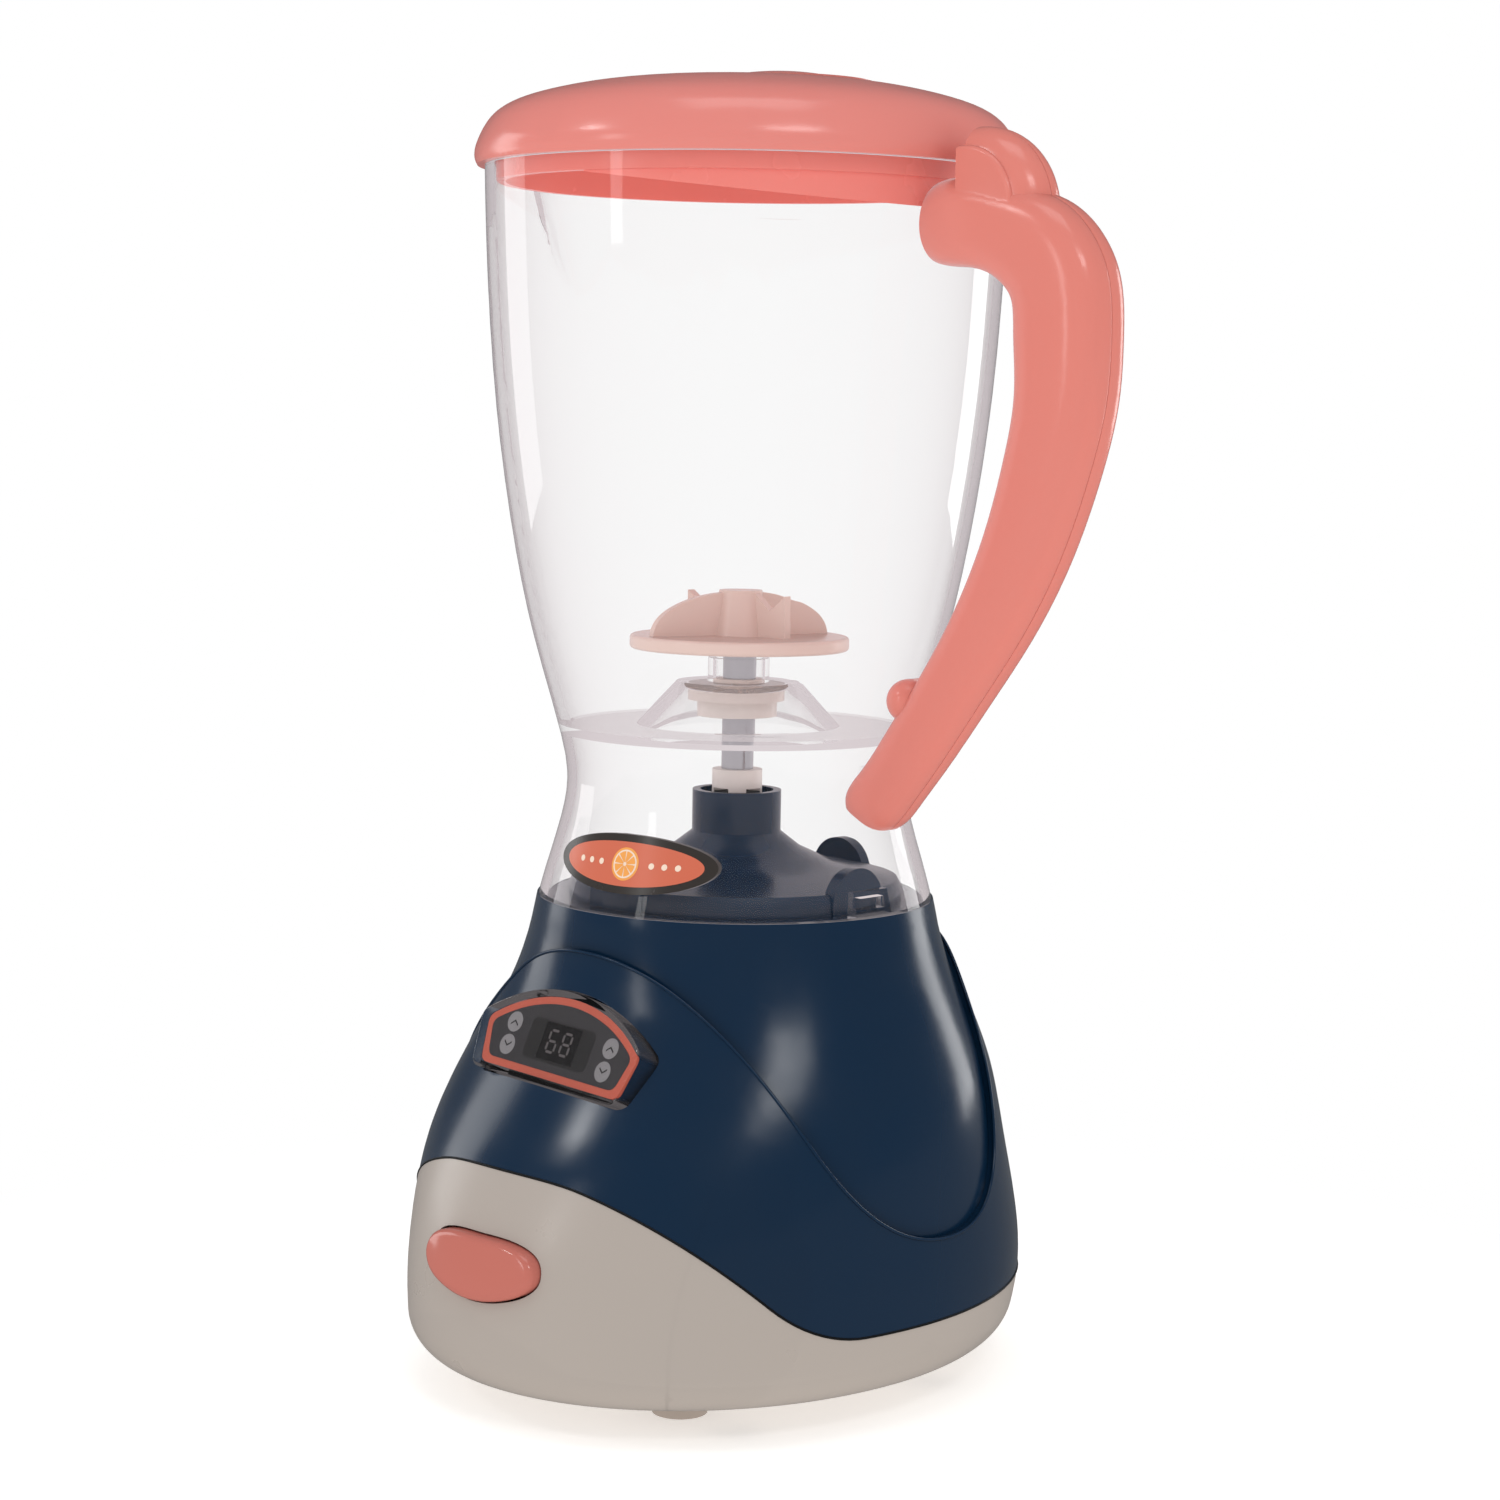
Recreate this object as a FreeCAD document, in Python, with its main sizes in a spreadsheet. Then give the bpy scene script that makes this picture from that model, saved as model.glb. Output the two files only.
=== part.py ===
"""Toy blender: a battery base with a start button and a display, and a clear jug with a handle and a lid.

Millimetres, +Z up. The origin is on the jug's axis, in the plane that the feet stand on.
-Y is the front with the button and the display, +X is the handle, -X is the pouring spout.
"""
import FreeCAD, Part
import math
import os
import re

import Sketcher
from FreeCAD import Placement, Rotation, Vector

doc = FreeCAD.newDocument("toy_blender")

# ---------------------------------------------------------------------------------------------
# Driving dimensions: name, value, meaning
# ---------------------------------------------------------------------------------------------
DRIVING = [
    # base outline: the bell grows from the round deck to an oval that is longer front to back
    ("foot_height", 5.9, "how far the shell stands above the table"),
    ("bumper_z", 15.0, "level of the lowest full section"),
    ("belly_z", 31.0, "level of the widest section"),
    ("hip_z", 46.0, "level above the belly"),
    ("panel_z", 60.5, "level at the foot of the display"),
    ("shoulder_z", 74.0, "level at the top of the display"),
    ("neck_z", 84.0, "level just under the deck"),
    ("deck_top", 89.3, "level of the deck that the jug stands on"),
    ("hem_x", 51.5, "half width at the underside"),
    ("hem_y", 60.0, "half length at the underside"),
    ("bumper_x", 53.0, "half width"),
    ("bumper_y", 61.6, "half length"),
    ("belly_x", 53.8, "half width"),
    ("belly_y", 59.8, "half length"),
    ("hip_x", 53.3, "half width"),
    ("hip_y", 54.2, "half length"),
    ("panel_x", 50.2, "half width"),
    ("panel_y", 47.2, "half length"),
    ("shoulder_x", 44.6, "half width"),
    ("shoulder_y", 40.6, "half length"),
    ("neck_x", 40.1, "half width"),
    ("neck_y", 38.9, "half length"),
    ("deck_radius", 38.4, "outer radius of the bell at the deck, before the flank step"),
    ("front_shift", 3.5, "how far the low sections are set towards the front"),
    ("panel_shift", 1.1, "the same at the foot of the display"),
    ("hem_radius", 8.0, "rounding of the lower edge"),
    ("flank_step", 1.2, "how deep the flank stands behind the front panel"),
    ("base_wall", 2.0, "wall of both base shells"),
    ("floor_thickness", 2.2, "bottom of the lower shell"),
    ("deck_thickness", 2.3, "top of the upper shell"),
    # seam between the two base shells, seen from the side
    ("seam_low_z", 18.2, "seam level round the sides and the back"),
    ("seam_high_z", 45.6, "seam level at the front"),
    ("seam_foot_y", -28.5, "where the rise leaves the low level"),
    ("seam_slope", 43.7, "slope of the rise in degrees"),
    ("seam_low_bend", 26.0, "bend radius at the foot of the rise"),
    ("seam_high_bend", 6.0, "bend radius at the crest"),
    ("seam_gap", 0.25, "shadow gap between the shells"),
    # edge of the stepped flank, seen from the side
    ("arch_z", 83.5, "top of the arch over the front panel and the back panel"),
    ("flank_low_z", 33.4, "lowest point of the flank's edge"),
    # feet and case screws
    ("foot_radius", 5.0, "radius of a foot"),
    ("foot_x", 18.2, "feet to the left and right"),
    ("foot_front_y", -30.8, "front feet, forwards"),
    ("foot_rear_y", 36.0, "rear feet, backwards"),
    ("foot_socket", 1.2, "how deep a foot sits in the floor"),
    ("case_post_radius", 4.0, "screw post of the case"),
    ("case_front_x", 34.0, "front posts, sideways"),
    ("case_front_y", -32.0, "front posts, forwards"),
    ("case_rear_x", 38.0, "rear posts, sideways"),
    ("case_rear_y", 16.0, "rear posts, backwards"),
    ("case_ledge_z", 20.0, "where the screw heads stop"),
    ("case_split_z", 24.0, "where lower and upper posts meet"),
    ("case_screw_radius", 1.45, "shank of a case screw"),
    ("case_head_radius", 2.7, "head of a case screw"),
    ("case_head_height", 2.0, "head of a case screw"),
    ("case_screw_length", 14.0, "shank of a case screw"),
    # batteries
    ("cell_radius", 7.1, "AA cell"),
    ("cell_length", 49.2, "AA cell without its button"),
    ("cell_button_radius", 2.75, "plus pole"),
    ("cell_button_length", 1.2, "plus pole"),
    ("cell_gap", 0.8, "between the two cells"),
    ("bay_y", 13.0, "middle of the battery bay"),
    ("bay_spring_room", 5.2, "room for the spring at the minus end"),
    ("bay_plate_room", 1.2, "room for the plate at the plus end"),
    ("bay_wall", 1.5, "walls of the battery bay"),
    ("bay_clearance", 0.5, "above and beside the cells"),
    ("door_gap", 0.3, "round the battery door"),
    ("contact_thickness", 0.4, "spring steel plates"),
    ("spring_wire", 0.3, "radius of the battery spring's wire"),
    ("spring_turns", 3.0, "turns of a battery spring"),
    ("small_screw_radius", 1.1, "shank of the small screws"),
    ("small_head_radius", 2.1, "head of the small screws"),
    ("small_head_height", 1.4, "head of the small screws"),
    # gear train
    ("gear_module", 0.8, "tooth size"),
    ("pinion_teeth", 10, "teeth of the motor pinion"),
    ("gear_teeth", 45, "teeth of the reduction gear"),
    ("pressure_angle", 25.0, "of the teeth, in degrees"),
    ("backlash", 0.12, "play between the teeth, on each gear"),
    ("gear_z", 60.0, "underside of the gear"),
    ("gear_width", 5.0, "face width"),
    ("plate_z", 56.0, "underside of the gearbox plate"),
    ("plate_thickness", 2.5, "gearbox plate"),
    ("plate_radius", 33.0, "gearbox plate"),
    ("plate_post_circle", 27.0, "radius of the circle that its three posts stand on"),
    ("plate_post_radius", 3.4, "posts that the gearbox plate hangs from"),
    ("spindle_radius", 2.0, "drive spindle"),
    ("spindle_bottom", 54.5, "lower end of the drive spindle"),
    ("running_gap", 0.05, "radial play of a shaft in its bush"),
    ("bush_wall", 1.4, "wall of the lower bush"),
    ("motor_radius", 10.0, "round sides of the motor can"),
    ("motor_flat", 15.2, "across the flats of the motor can"),
    ("motor_length", 25.0, "motor can"),
    ("motor_shaft_radius", 1.0, "motor shaft"),
    ("motor_nose_radius", 3.0, "bearing nose on the motor can"),
    # seat of the jug on the base
    ("seat_radius", 31.2, "round plug inside the jug's skirt"),
    ("seat_band", 2.8, "height of its straight edge"),
    ("seat_slope_z", 95.5, "level where the cone steepens"),
    ("seat_slope_radius", 18.3, "radius there"),
    ("seat_cone_z", 98.3, "level half way up the cone"),
    ("seat_cone_radius", 12.2, "radius there"),
    ("column_foot_z", 101.3, "foot of the column"),
    ("column_top_z", 109.1, "top of the column"),
    ("column_radius", 8.33, "column"),
    ("column_wall", 1.45, "wall round the coupling"),
    ("column_bore", 5.0, "bore for the upper bush"),
    ("seat_wall", 2.0, "wall of the seat"),
    ("lug_radius", 6.6, "half-round lugs"),
    ("lug_z", 90.8, "centre of their arcs"),
    ("lug_thickness", 2.4, "half-round lugs"),
    ("lug_reach", 31.0, "outer face of the lugs"),
    ("seat_screw_circle", 24.0, "radius of the circle of the seat's screws"),
    # coupling between spindle and rotor
    ("dog_radius", 4.7, "outer radius of both coupling halves"),
    ("dog_inner", 2.3, "inner radius of the teeth"),
    ("dog_teeth", 4, "teeth on each half"),
    ("dog_play", 3.5, "play between the teeth in degrees"),
    ("dog_height", 3.0, "height of the teeth"),
    ("dog_plate", 3.4, "thickness of each half below its teeth"),
    ("dog_low_z", 102.6, "underside of the driving half"),
    ("dog_gap", 0.5, "end play between the halves"),
    # jug: outer radius at named levels
    ("skirt_radius", 36.9, "at the deck"),
    ("skirt_mid_z", 101.8, "level"),
    ("skirt_mid_radius", 33.35, "there"),
    ("waist_z", 111.3, "narrowest level"),
    ("waist_radius", 31.8, "there"),
    ("bowl_low_z", 120.6, "level just under the floor"),
    ("bowl_low_radius", 33.5, "there"),
    ("bowl_mid_z", 139.3, "level"),
    ("bowl_mid_radius", 38.8, "there"),
    ("body_low_z", 157.8, "level"),
    ("body_low_radius", 42.6, "there"),
    ("body_mid_z", 176.0, "level"),
    ("body_mid_radius", 45.2, "there"),
    ("body_high_z", 198.0, "level"),
    ("body_high_radius", 47.1, "there"),
    ("jug_top", 223.4, "rim of the jug"),
    ("jug_top_radius", 48.1, "there"),
    ("jug_wall", 1.7, "wall of the jug"),
    ("floor_top", 121.3, "upper side of the jug's floor"),
    ("jug_floor", 1.7, "thickness of the jug's floor"),
    ("tower_base_radius", 19.0, "raised cone in the floor"),
    ("tower_top_radius", 11.6, "its flat top"),
    ("tower_rise", 8.1, "its flat top above the floor"),
    ("tube_radius", 5.8, "bearing tube"),
    ("tube_rise", 4.4, "bearing tube above the cone"),
    ("flute_depth", 0.7, "hollows that run up the inside of the jug's wall"),
    ("flute_radius", 13.0, "their round section"),
    ("flute_turn", -38.7, "direction of the first one from +X, in degrees"),
    ("flute_high_z", 212.0, "their upper end"),
    ("spout_radius", 16.5, "spout at the rim"),
    ("spout_offset", 36.0, "its centre from the jug's axis"),
    ("spout_low_z", 193.0, "where it dies into the wall"),
    ("spout_low_radius", 6.0, "its radius there"),
    ("catch_width", 9.0, "catch pockets inside the skirt"),
    ("catch_height", 4.4, "catch pockets inside the skirt"),
    ("catch_depth", 2.6, "catch pockets inside the skirt"),
    # rotor
    ("shaft_radius", 3.0, "rotor shaft"),
    ("shaft_bush_radius", 4.4, "bush in the bearing tube"),
    ("bush_flange_radius", 9.4, "flange of the bush under the cone"),
    ("bush_flange_height", 2.0, "its thickness"),
    ("bush_nut_radius", 7.7, "lock ring under the flange"),
    ("bush_nut_height", 3.0, "its thickness"),
    ("disc_radius", 20.5, "rotor disc"),
    ("disc_lift", 1.6, "underside of the rotor disc above the bearing tube"),
    ("disc_thickness", 2.6, "rotor disc"),
    ("hub_radius", 5.4, "foot of the rotor's hub"),
    ("hub_top_radius", 3.9, "top of the rotor's hub"),
    ("hub_height", 8.4, "hub above the disc"),
    ("fin_reach", 18.2, "tips of the long fins"),
    ("short_fin_reach", 13.0, "ends of the notched fins"),
    ("fin_thickness", 1.7, "fins"),
    ("notch_depth", 3.6, "V notch of the short fins"),
    # lid
    ("lid_radius", 50.0, "widest radius of the dome"),
    ("lid_rim_radius", 49.5, "lower edge of the dome"),
    ("lid_belly", 1.4, "how far the widest level lies above the rim"),
    ("lid_shoulder_radius", 46.95, "shoulder of the dome"),
    ("lid_shoulder_rise", 8.6, "shoulder above the rim"),
    ("lid_slope_radius", 38.7, "slope of the dome"),
    ("lid_slope_rise", 12.7, "slope above the rim"),
    ("lid_crown_rise", 16.6, "dome above the rim, in the middle"),
    ("lid_wall", 2.0, "wall of the dome"),
    ("plug_gap", 0.35, "between the jug's wall and the lid's ring"),
    ("plug_depth", 3.0, "ring below the rim"),
    ("plug_wall", 1.8, "ring and strainer"),
    ("strainer_depth", 8.2, "strainer below the rim"),
    ("strainer_start", 3.2, "its depth at its two ends"),
    ("strainer_half_angle", 84.0, "strainer each side of the handle"),
    ("strainer_inset", 0.6, "strainer behind the ring"),
    ("cap_offset", 8.5, "middle of the cap from the lid's, towards the handle"),
    ("cap_radius", 17.0, "cap"),
    ("cap_plug_radius", 13.6, "part of the cap inside the dome"),
    ("cap_plug_gap", 0.4, "between the cap and the dome's hole"),
    ("cap_plug_depth", 5.0, "part of the cap inside the dome"),
    ("cap_seat_rise", 13.8, "seat of the cap above the rim"),
    ("cap_edge", 1.7, "height of the cap's straight edge"),
    ("cap_crown", 3.0, "top of the cap above its seat"),
    ("cap_wall", 1.8, "wall of the cap"),
    # handle
    ("handle_wall", 2.2, "wall of both halves"),
    ("hump_radius", 15.0, "thumb rest over the handle"),
    ("hump_x", 57.0, "centre of its arc"),
    ("hump_centre_z", 213.6, "centre of its arc"),
    ("hump_front", 1.6, "its front face before the centre"),
    ("hump_half_width", 5.4, "middle part of the thumb rest"),
    ("cheek_radius", 10.6, "side cheeks of the thumb rest"),
    ("cheek_centre_z", 214.5, "centre of their arc"),
    ("cheek_half_width", 6.1, "across the cheeks, from the middle"),
    ("knob_radius", 3.9, "screw boss at the lower inner side"),
    ("knob_x", 43.9, "its place"),
    ("knob_z", 129.0, "its place"),
    ("knob_half_width", 2.0, "its half width"),
    ("tongue_thickness", 4.0, "tongues of the jug inside the handle"),
    ("upper_tongue_z", 208.2, "underside of the upper one"),
    ("lower_tongue_z", 110.8, "underside of the lower one"),
    ("handle_screw_radius", 1.2, "screws that close the handle"),
    ("handle_head_radius", 2.3, "their heads"),
    ("handle_head_height", 1.6, "their heads"),
    # display
    ("display_z", 67.0, "middle of the display"),
    ("display_y", -45.4, "front face of the display there"),
    ("display_tilt", 24.0, "how far it leans back, in degrees"),
    ("display_roll", 2.5, "its right end hangs by so many degrees"),
    ("lens_half_foot", 19.4, "half width of the lens at its foot"),
    ("lens_half_top", 21.2, "half width at its upper corners"),
    ("lens_foot", 8.3, "foot below the middle"),
    ("lens_corner", 1.9, "corners above the middle"),
    ("lens_arch", 9.3, "arch above the middle"),
    ("lens_depth", 7.8, "front face to flange"),
    ("lens_wall", 1.2, "wall of the lens"),
    ("lens_flange", 1.4, "flange beyond the outline"),
    ("lens_flange_thickness", 1.2, "flange"),
    ("lens_gap", 0.3, "between the lens and its window"),
    ("label_thickness", 0.4, "printed card behind the lens"),
    ("board_thickness", 1.6, "circuit board"),
    ("board_half_width", 17.0, "circuit board"),
    ("board_half_height", 7.0, "circuit board"),
    ("lamp_radius", 1.5, "lamp behind the card"),
    ("lamp_height", 5.0, "lamp behind the card"),
    # start button
    ("button_z", 29.4, "middle of the button"),
    ("button_half_width", 14.0, "button"),
    ("button_top", 5.1, "top edge above the middle"),
    ("button_foot", 5.9, "lower edge below the middle"),
    ("button_proud", 2.2, "how far it stands out of the shell"),
    ("button_edge", 1.5, "rounding of its front edge"),
    ("button_gap", 0.4, "round the button"),
    ("button_travel", 2.5, "press depth"),
    ("button_flange", 1.3, "flange beyond the outline"),
    ("button_flange_y", -57.6, "front of the flange"),
    ("button_flange_thickness", 1.4, "flange"),
    ("stem_radius", 2.4, "stem behind the button"),
    ("stem_end_y", -47.6, "rear end of the stem"),
    ("bracket_y", -51.6, "front of the switch bracket"),
    ("bracket_thickness", 1.8, "switch bracket"),
    ("bracket_half_width", 8.6, "switch bracket"),
    ("bracket_top_z", 38.0, "switch bracket"),
    ("switch_half_width", 6.0, "switch"),
    ("switch_half_height", 5.0, "switch"),
    ("switch_y", -44.6, "front of the switch"),
    ("switch_depth", 8.0, "switch"),
    ("plunger_radius", 1.4, "plunger of the switch"),
    ("button_spring_radius", 3.8, "spring round the stem, to the wire's middle"),
    ("button_spring_wire", 0.3, "radius of its wire"),
    ("button_spring_turns", 4.0, "its turns"),
    # badge on the skirt
    ("badge_half_width", 17.2, "badge, measured along the skirt"),
    ("badge_half_height", 5.2, "badge"),
    ("badge_thickness", 0.9, "badge"),
    ("badge_z", 98.6, "middle of the badge"),
    ("badge_turn", -80.0, "its direction from +X, in degrees"),
]

sizes = doc.addObject("Spreadsheet::Sheet", "Sizes")
for row, (name, value, meaning) in enumerate(DRIVING, start=1):
    sizes.set(f"A{row}", name)
    sizes.set(f"B{row}", str(value))
    sizes.setAlias(f"B{row}", name)
    sizes.set(f"C{row}", meaning)
doc.recompute()

# ---------------------------------------------------------------------------------------------
# Mating sizes, worked out from the driving ones
# ---------------------------------------------------------------------------------------------
MATING = [
    ("floor_top_z", "foot_height + floor_thickness"),
    ("deck_under", "deck_top - deck_thickness"),
    ("cell_z", "floor_top_z + bay_clearance + cell_radius"),
    ("bay_half_y", "2 * cell_radius + cell_gap / 2 + bay_clearance"),
    ("bay_length", "cell_length + cell_button_length + bay_spring_room + bay_plate_room"),
    ("bay_roof", "cell_z + cell_radius + bay_clearance"),
    ("cell_left_x", "-bay_length / 2 + bay_plate_room + cell_button_length"),
    ("gear_pitch", "gear_module * gear_teeth / 2"),
    ("pinion_pitch", "gear_module * pinion_teeth / 2"),
    ("motor_y", "gear_pitch + pinion_pitch"),
    ("plate_top", "plate_z + plate_thickness"),
    ("coupling_bore", "column_radius - column_wall"),
    ("dog_low_top", "dog_low_z + dog_plate"),
    ("dog_high_z", "dog_low_top + dog_height + dog_gap"),
    ("tower_top_z", "floor_top + tower_rise"),
    ("tower_under", "tower_top_z - jug_floor"),
    ("tube_top_z", "tower_top_z + tube_rise"),
    ("disc_z", "tube_top_z + disc_lift"),
    ("disc_top", "disc_z + disc_thickness"),
    ("plug_radius", "jug_top_radius - jug_wall - plug_gap"),
    ("cap_seat_z", "jug_top + cap_seat_rise"),
    ("cap_hole", "cap_plug_radius + cap_plug_gap"),
    ("flange_under_z", "lens_depth + lens_flange_thickness"),
]

mates = doc.addObject("App::VarSet", "Mates")
SHEET_NAMES = {name for name, value, meaning in DRIVING}
MATE_NAMES = {name for name, formula in MATING}


def bound(formula):
    """The formula with each name led to the sheet or to the mating sizes that hold it."""

    def owner(match):
        word = match.group(0)
        if word in SHEET_NAMES:
            return "Sizes." + word
        if word in MATE_NAMES:
            return "Mates." + word
        return word

    return re.sub(r"[a-z_][a-z_0-9]*", owner, str(formula))


for name, formula in MATING:
    mates.addProperty("App::PropertyFloat", name)
    mates.setExpression(name, bound(formula))
doc.recompute()


class Named:
    """Reads a driving or mating size by its name."""

    def __getattr__(self, name):
        if name in MATE_NAMES:
            return float(getattr(mates, name))
        return float(sizes.get(name))


d = Named()
nodes = []


# ---------------------------------------------------------------------------------------------
# Small helpers for parametric pieces
# ---------------------------------------------------------------------------------------------
def keep(piece, label):
    """Marks an object as a finished sub-part."""
    piece.Label = label
    nodes.append(piece)
    return piece


def place(piece, x=0, y=0, z=0, turn=None):
    """Sets the piece's place from formulas, and turns it by (axis, degrees)."""
    if turn:
        piece.Placement = Placement(Vector(), Rotation(turn[0], turn[1]))
    for axis, formula in (("x", x), ("y", y), ("z", z)):
        piece.setExpression(f"Placement.Base.{axis}", bound(formula))
    return piece


def cylinder(name, radius, height, **where):
    piece = doc.addObject("Part::Cylinder", name)
    piece.setExpression("Radius", bound(radius))
    piece.setExpression("Height", bound(height))
    return place(piece, **where)


def block(name, length, width, height, **where):
    piece = doc.addObject("Part::Box", name)
    piece.setExpression("Length", bound(length))
    piece.setExpression("Width", bound(width))
    piece.setExpression("Height", bound(height))
    return place(piece, **where)


def fused(name, pieces):
    piece = doc.addObject("Part::MultiFuse", name)
    piece.Shapes = pieces
    return piece


def cut(name, base, tools):
    piece = doc.addObject("Part::Cut", name)
    piece.Base = base
    piece.Tool = tools[0] if len(tools) == 1 else fused(name + "_tools", tools)
    return piece


def group(name, pieces):
    """Separate solids that share one node."""
    piece = doc.addObject("Part::Compound", name)
    piece.Links = pieces
    return piece


def turned(label, profile):
    """A PartDesign body: a closed outline of (radius, level) formulas, revolved about the Z axis."""
    body = doc.addObject("PartDesign::Body", label)
    plane = [f for f in body.Origin.OriginFeatures if f.Role == "XZ_Plane"][0]
    sketch = body.newObject("Sketcher::SketchObject", label + "_outline")
    sketch.AttachmentSupport = [(plane, "")]
    sketch.MapMode = "FlatFace"
    count = len(profile)
    for i in range(count):
        start = Vector(i + 1, i * i + 1, 0)
        end = Vector(i + 2, (i + 1) ** 2 + 1, 0)
        sketch.addGeometry(Part.LineSegment(start, end), False)
    for i in range(count):
        sketch.addConstraint(Sketcher.Constraint("Coincident", i, 2, (i + 1) % count, 1))
    for i, (radius, level) in enumerate(profile):
        if str(radius) == "0":
            sketch.addConstraint(Sketcher.Constraint("PointOnObject", i, 1, -2))
        else:
            datum = sketch.addConstraint(Sketcher.Constraint("DistanceX", -1, 1, i, 1, i + 1.0))
            sketch.setExpression(f"Constraints[{datum}]", bound(radius))
        datum = sketch.addConstraint(Sketcher.Constraint("DistanceY", -1, 1, i, 1, i * i + 1.0))
        sketch.setExpression(f"Constraints[{datum}]", bound(level))
    turn = body.newObject("PartDesign::Revolution", label + "_turned")
    turn.Profile = sketch
    turn.ReferenceAxis = (sketch, ["V_Axis"])
    turn.Angle = 360
    return body


def shaped(label, shape):
    """A sub-part whose form has no feature of its own: its shape is set, then its place."""
    piece = doc.addObject("Part::Feature", label)
    place_of_shape = shape.Placement
    piece.Shape = shape
    piece.Placement = place_of_shape
    return piece


# ---------------------------------------------------------------------------------------------
# Small helpers for free shapes
# ---------------------------------------------------------------------------------------------
AXIS_X = Vector(1, 0, 0)
AXIS_Y = Vector(0, 1, 0)
AXIS_Z = Vector(0, 0, 1)
REACH = 4 * d.jug_top_radius


def rod(radius, start, end):
    """A solid cylinder from one point to another."""
    return Part.makeCylinder(radius, (end - start).Length, start, end - start)


def level_rod(radius, x, y, low, high):
    return rod(radius, Vector(x, y, low), Vector(x, y, high))


def oval(half_x, half_y, shift_y, z):
    """A smooth closed oval through sixteen points, with the same start for every size."""
    points = []
    for i in range(16):
        angle = math.pi * i / 8
        points.append(Vector(half_x * math.cos(angle), shift_y + half_y * math.sin(angle), z))
    curve = Part.BSplineCurve()
    curve.interpolate(points, PeriodicFlag=True)
    return Part.Wire([curve.toShape()])


def rounded_path(points, radii):
    """Straight runs through the points, with a tangent arc of its own radius at each inner one."""
    edges = []
    last = points[0]
    for i in range(1, len(points) - 1):
        before = (points[i - 1] - points[i]).normalize()
        after = (points[i + 1] - points[i]).normalize()
        half = before.getAngle(after) / 2
        reach = radii[i - 1] / math.tan(half)
        start = points[i] + before * reach
        end = points[i] + after * reach
        middle_way = (before + after).normalize()
        middle = points[i] + middle_way * (radii[i - 1] / math.sin(half) - radii[i - 1])
        if (start - last).Length > 1e-6:
            edges.append(Part.LineSegment(last, start).toShape())
        edges.append(Part.Arc(start, middle, end).toShape())
        last = end
    edges.append(Part.LineSegment(last, points[-1]).toShape())
    return edges


def prism(wire, vector):
    return Part.Face(wire).extrude(vector)


def spline(points):
    curve = Part.BSplineCurve()
    curve.interpolate(points)
    return curve.toShape()


def coil(radius, wire, pitch, turns):
    """A round-wire spring along +Z, with its wire's middle at Z 0 to pitch * turns."""
    steps = 16
    path = Part.BSplineCurve()
    path.interpolate(
        [
            Vector(
                radius * math.cos(2 * math.pi * i / steps),
                radius * math.sin(2 * math.pi * i / steps),
                pitch * i / steps,
            )
            for i in range(int(round(turns * steps)) + 1)
        ]
    )
    lean = math.atan2(pitch, 2 * math.pi * radius)
    along = Vector(0, math.cos(lean), math.sin(lean))
    section = Part.Wire([Part.Circle(Vector(radius, 0, 0), along, wire).toShape()])
    return Part.Wire([path.toShape()]).makePipeShell([section], True, True)


# ---------------------------------------------------------------------------------------------
# Base: the bell that both shells are cut from
# ---------------------------------------------------------------------------------------------
BELL_LEVELS = [
    (d.foot_height, d.hem_x, d.hem_y, -d.front_shift),
    (d.bumper_z, d.bumper_x, d.bumper_y, -d.front_shift),
    (d.belly_z, d.belly_x, d.belly_y, -d.front_shift),
    (d.hip_z, d.hip_x, d.hip_y, -d.front_shift),
    (d.panel_z, d.panel_x, d.panel_y, -d.panel_shift),
    (d.shoulder_z, d.shoulder_x, d.shoulder_y, 0),
    (d.neck_z, d.neck_x, d.neck_y, 0),
    (d.deck_top, d.deck_radius, d.deck_radius, 0),
]


def bell(inset, hem_radius):
    """The base's outer form, drawn in by an inset, with its lower edge rounded."""
    wires = [oval(x - inset, y - inset, shift, z) for z, x, y, shift in BELL_LEVELS]
    solid = Part.makeLoft(wires, True, False)
    hem = [e for e in solid.Edges if abs(e.BoundBox.ZMax - d.foot_height) < 1e-3]
    return solid.makeFillet(hem_radius, hem)


def side_region(edges, close_z):
    """The prism along X between an edge seen from the side and a level beyond it."""
    start = edges[0].Vertexes[0].Point
    end = edges[-1].Vertexes[-1].Point
    corners = [end, Vector(0, end.y, close_z), Vector(0, start.y, close_z), start]
    frame = [Part.LineSegment(a, b).toShape() for a, b in zip(corners, corners[1:])]
    region = prism(Part.Wire(edges + frame), Vector(2 * REACH, 0, 0))
    return region.translated(Vector(-REACH, 0, 0))


def seam_region(rise):
    """Everything below the seam, raised by a distance."""
    low = d.seam_low_z + rise
    high = d.seam_high_z + rise
    crest_y = d.seam_foot_y - (d.seam_high_z - d.seam_low_z) / math.tan(math.radians(d.seam_slope))
    points = [
        Vector(0, REACH, low),
        Vector(0, d.seam_foot_y, low),
        Vector(0, crest_y, high),
        Vector(0, -REACH, high),
    ]
    return side_region(rounded_path(points, [d.seam_low_bend, d.seam_high_bend]), -REACH)


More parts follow.
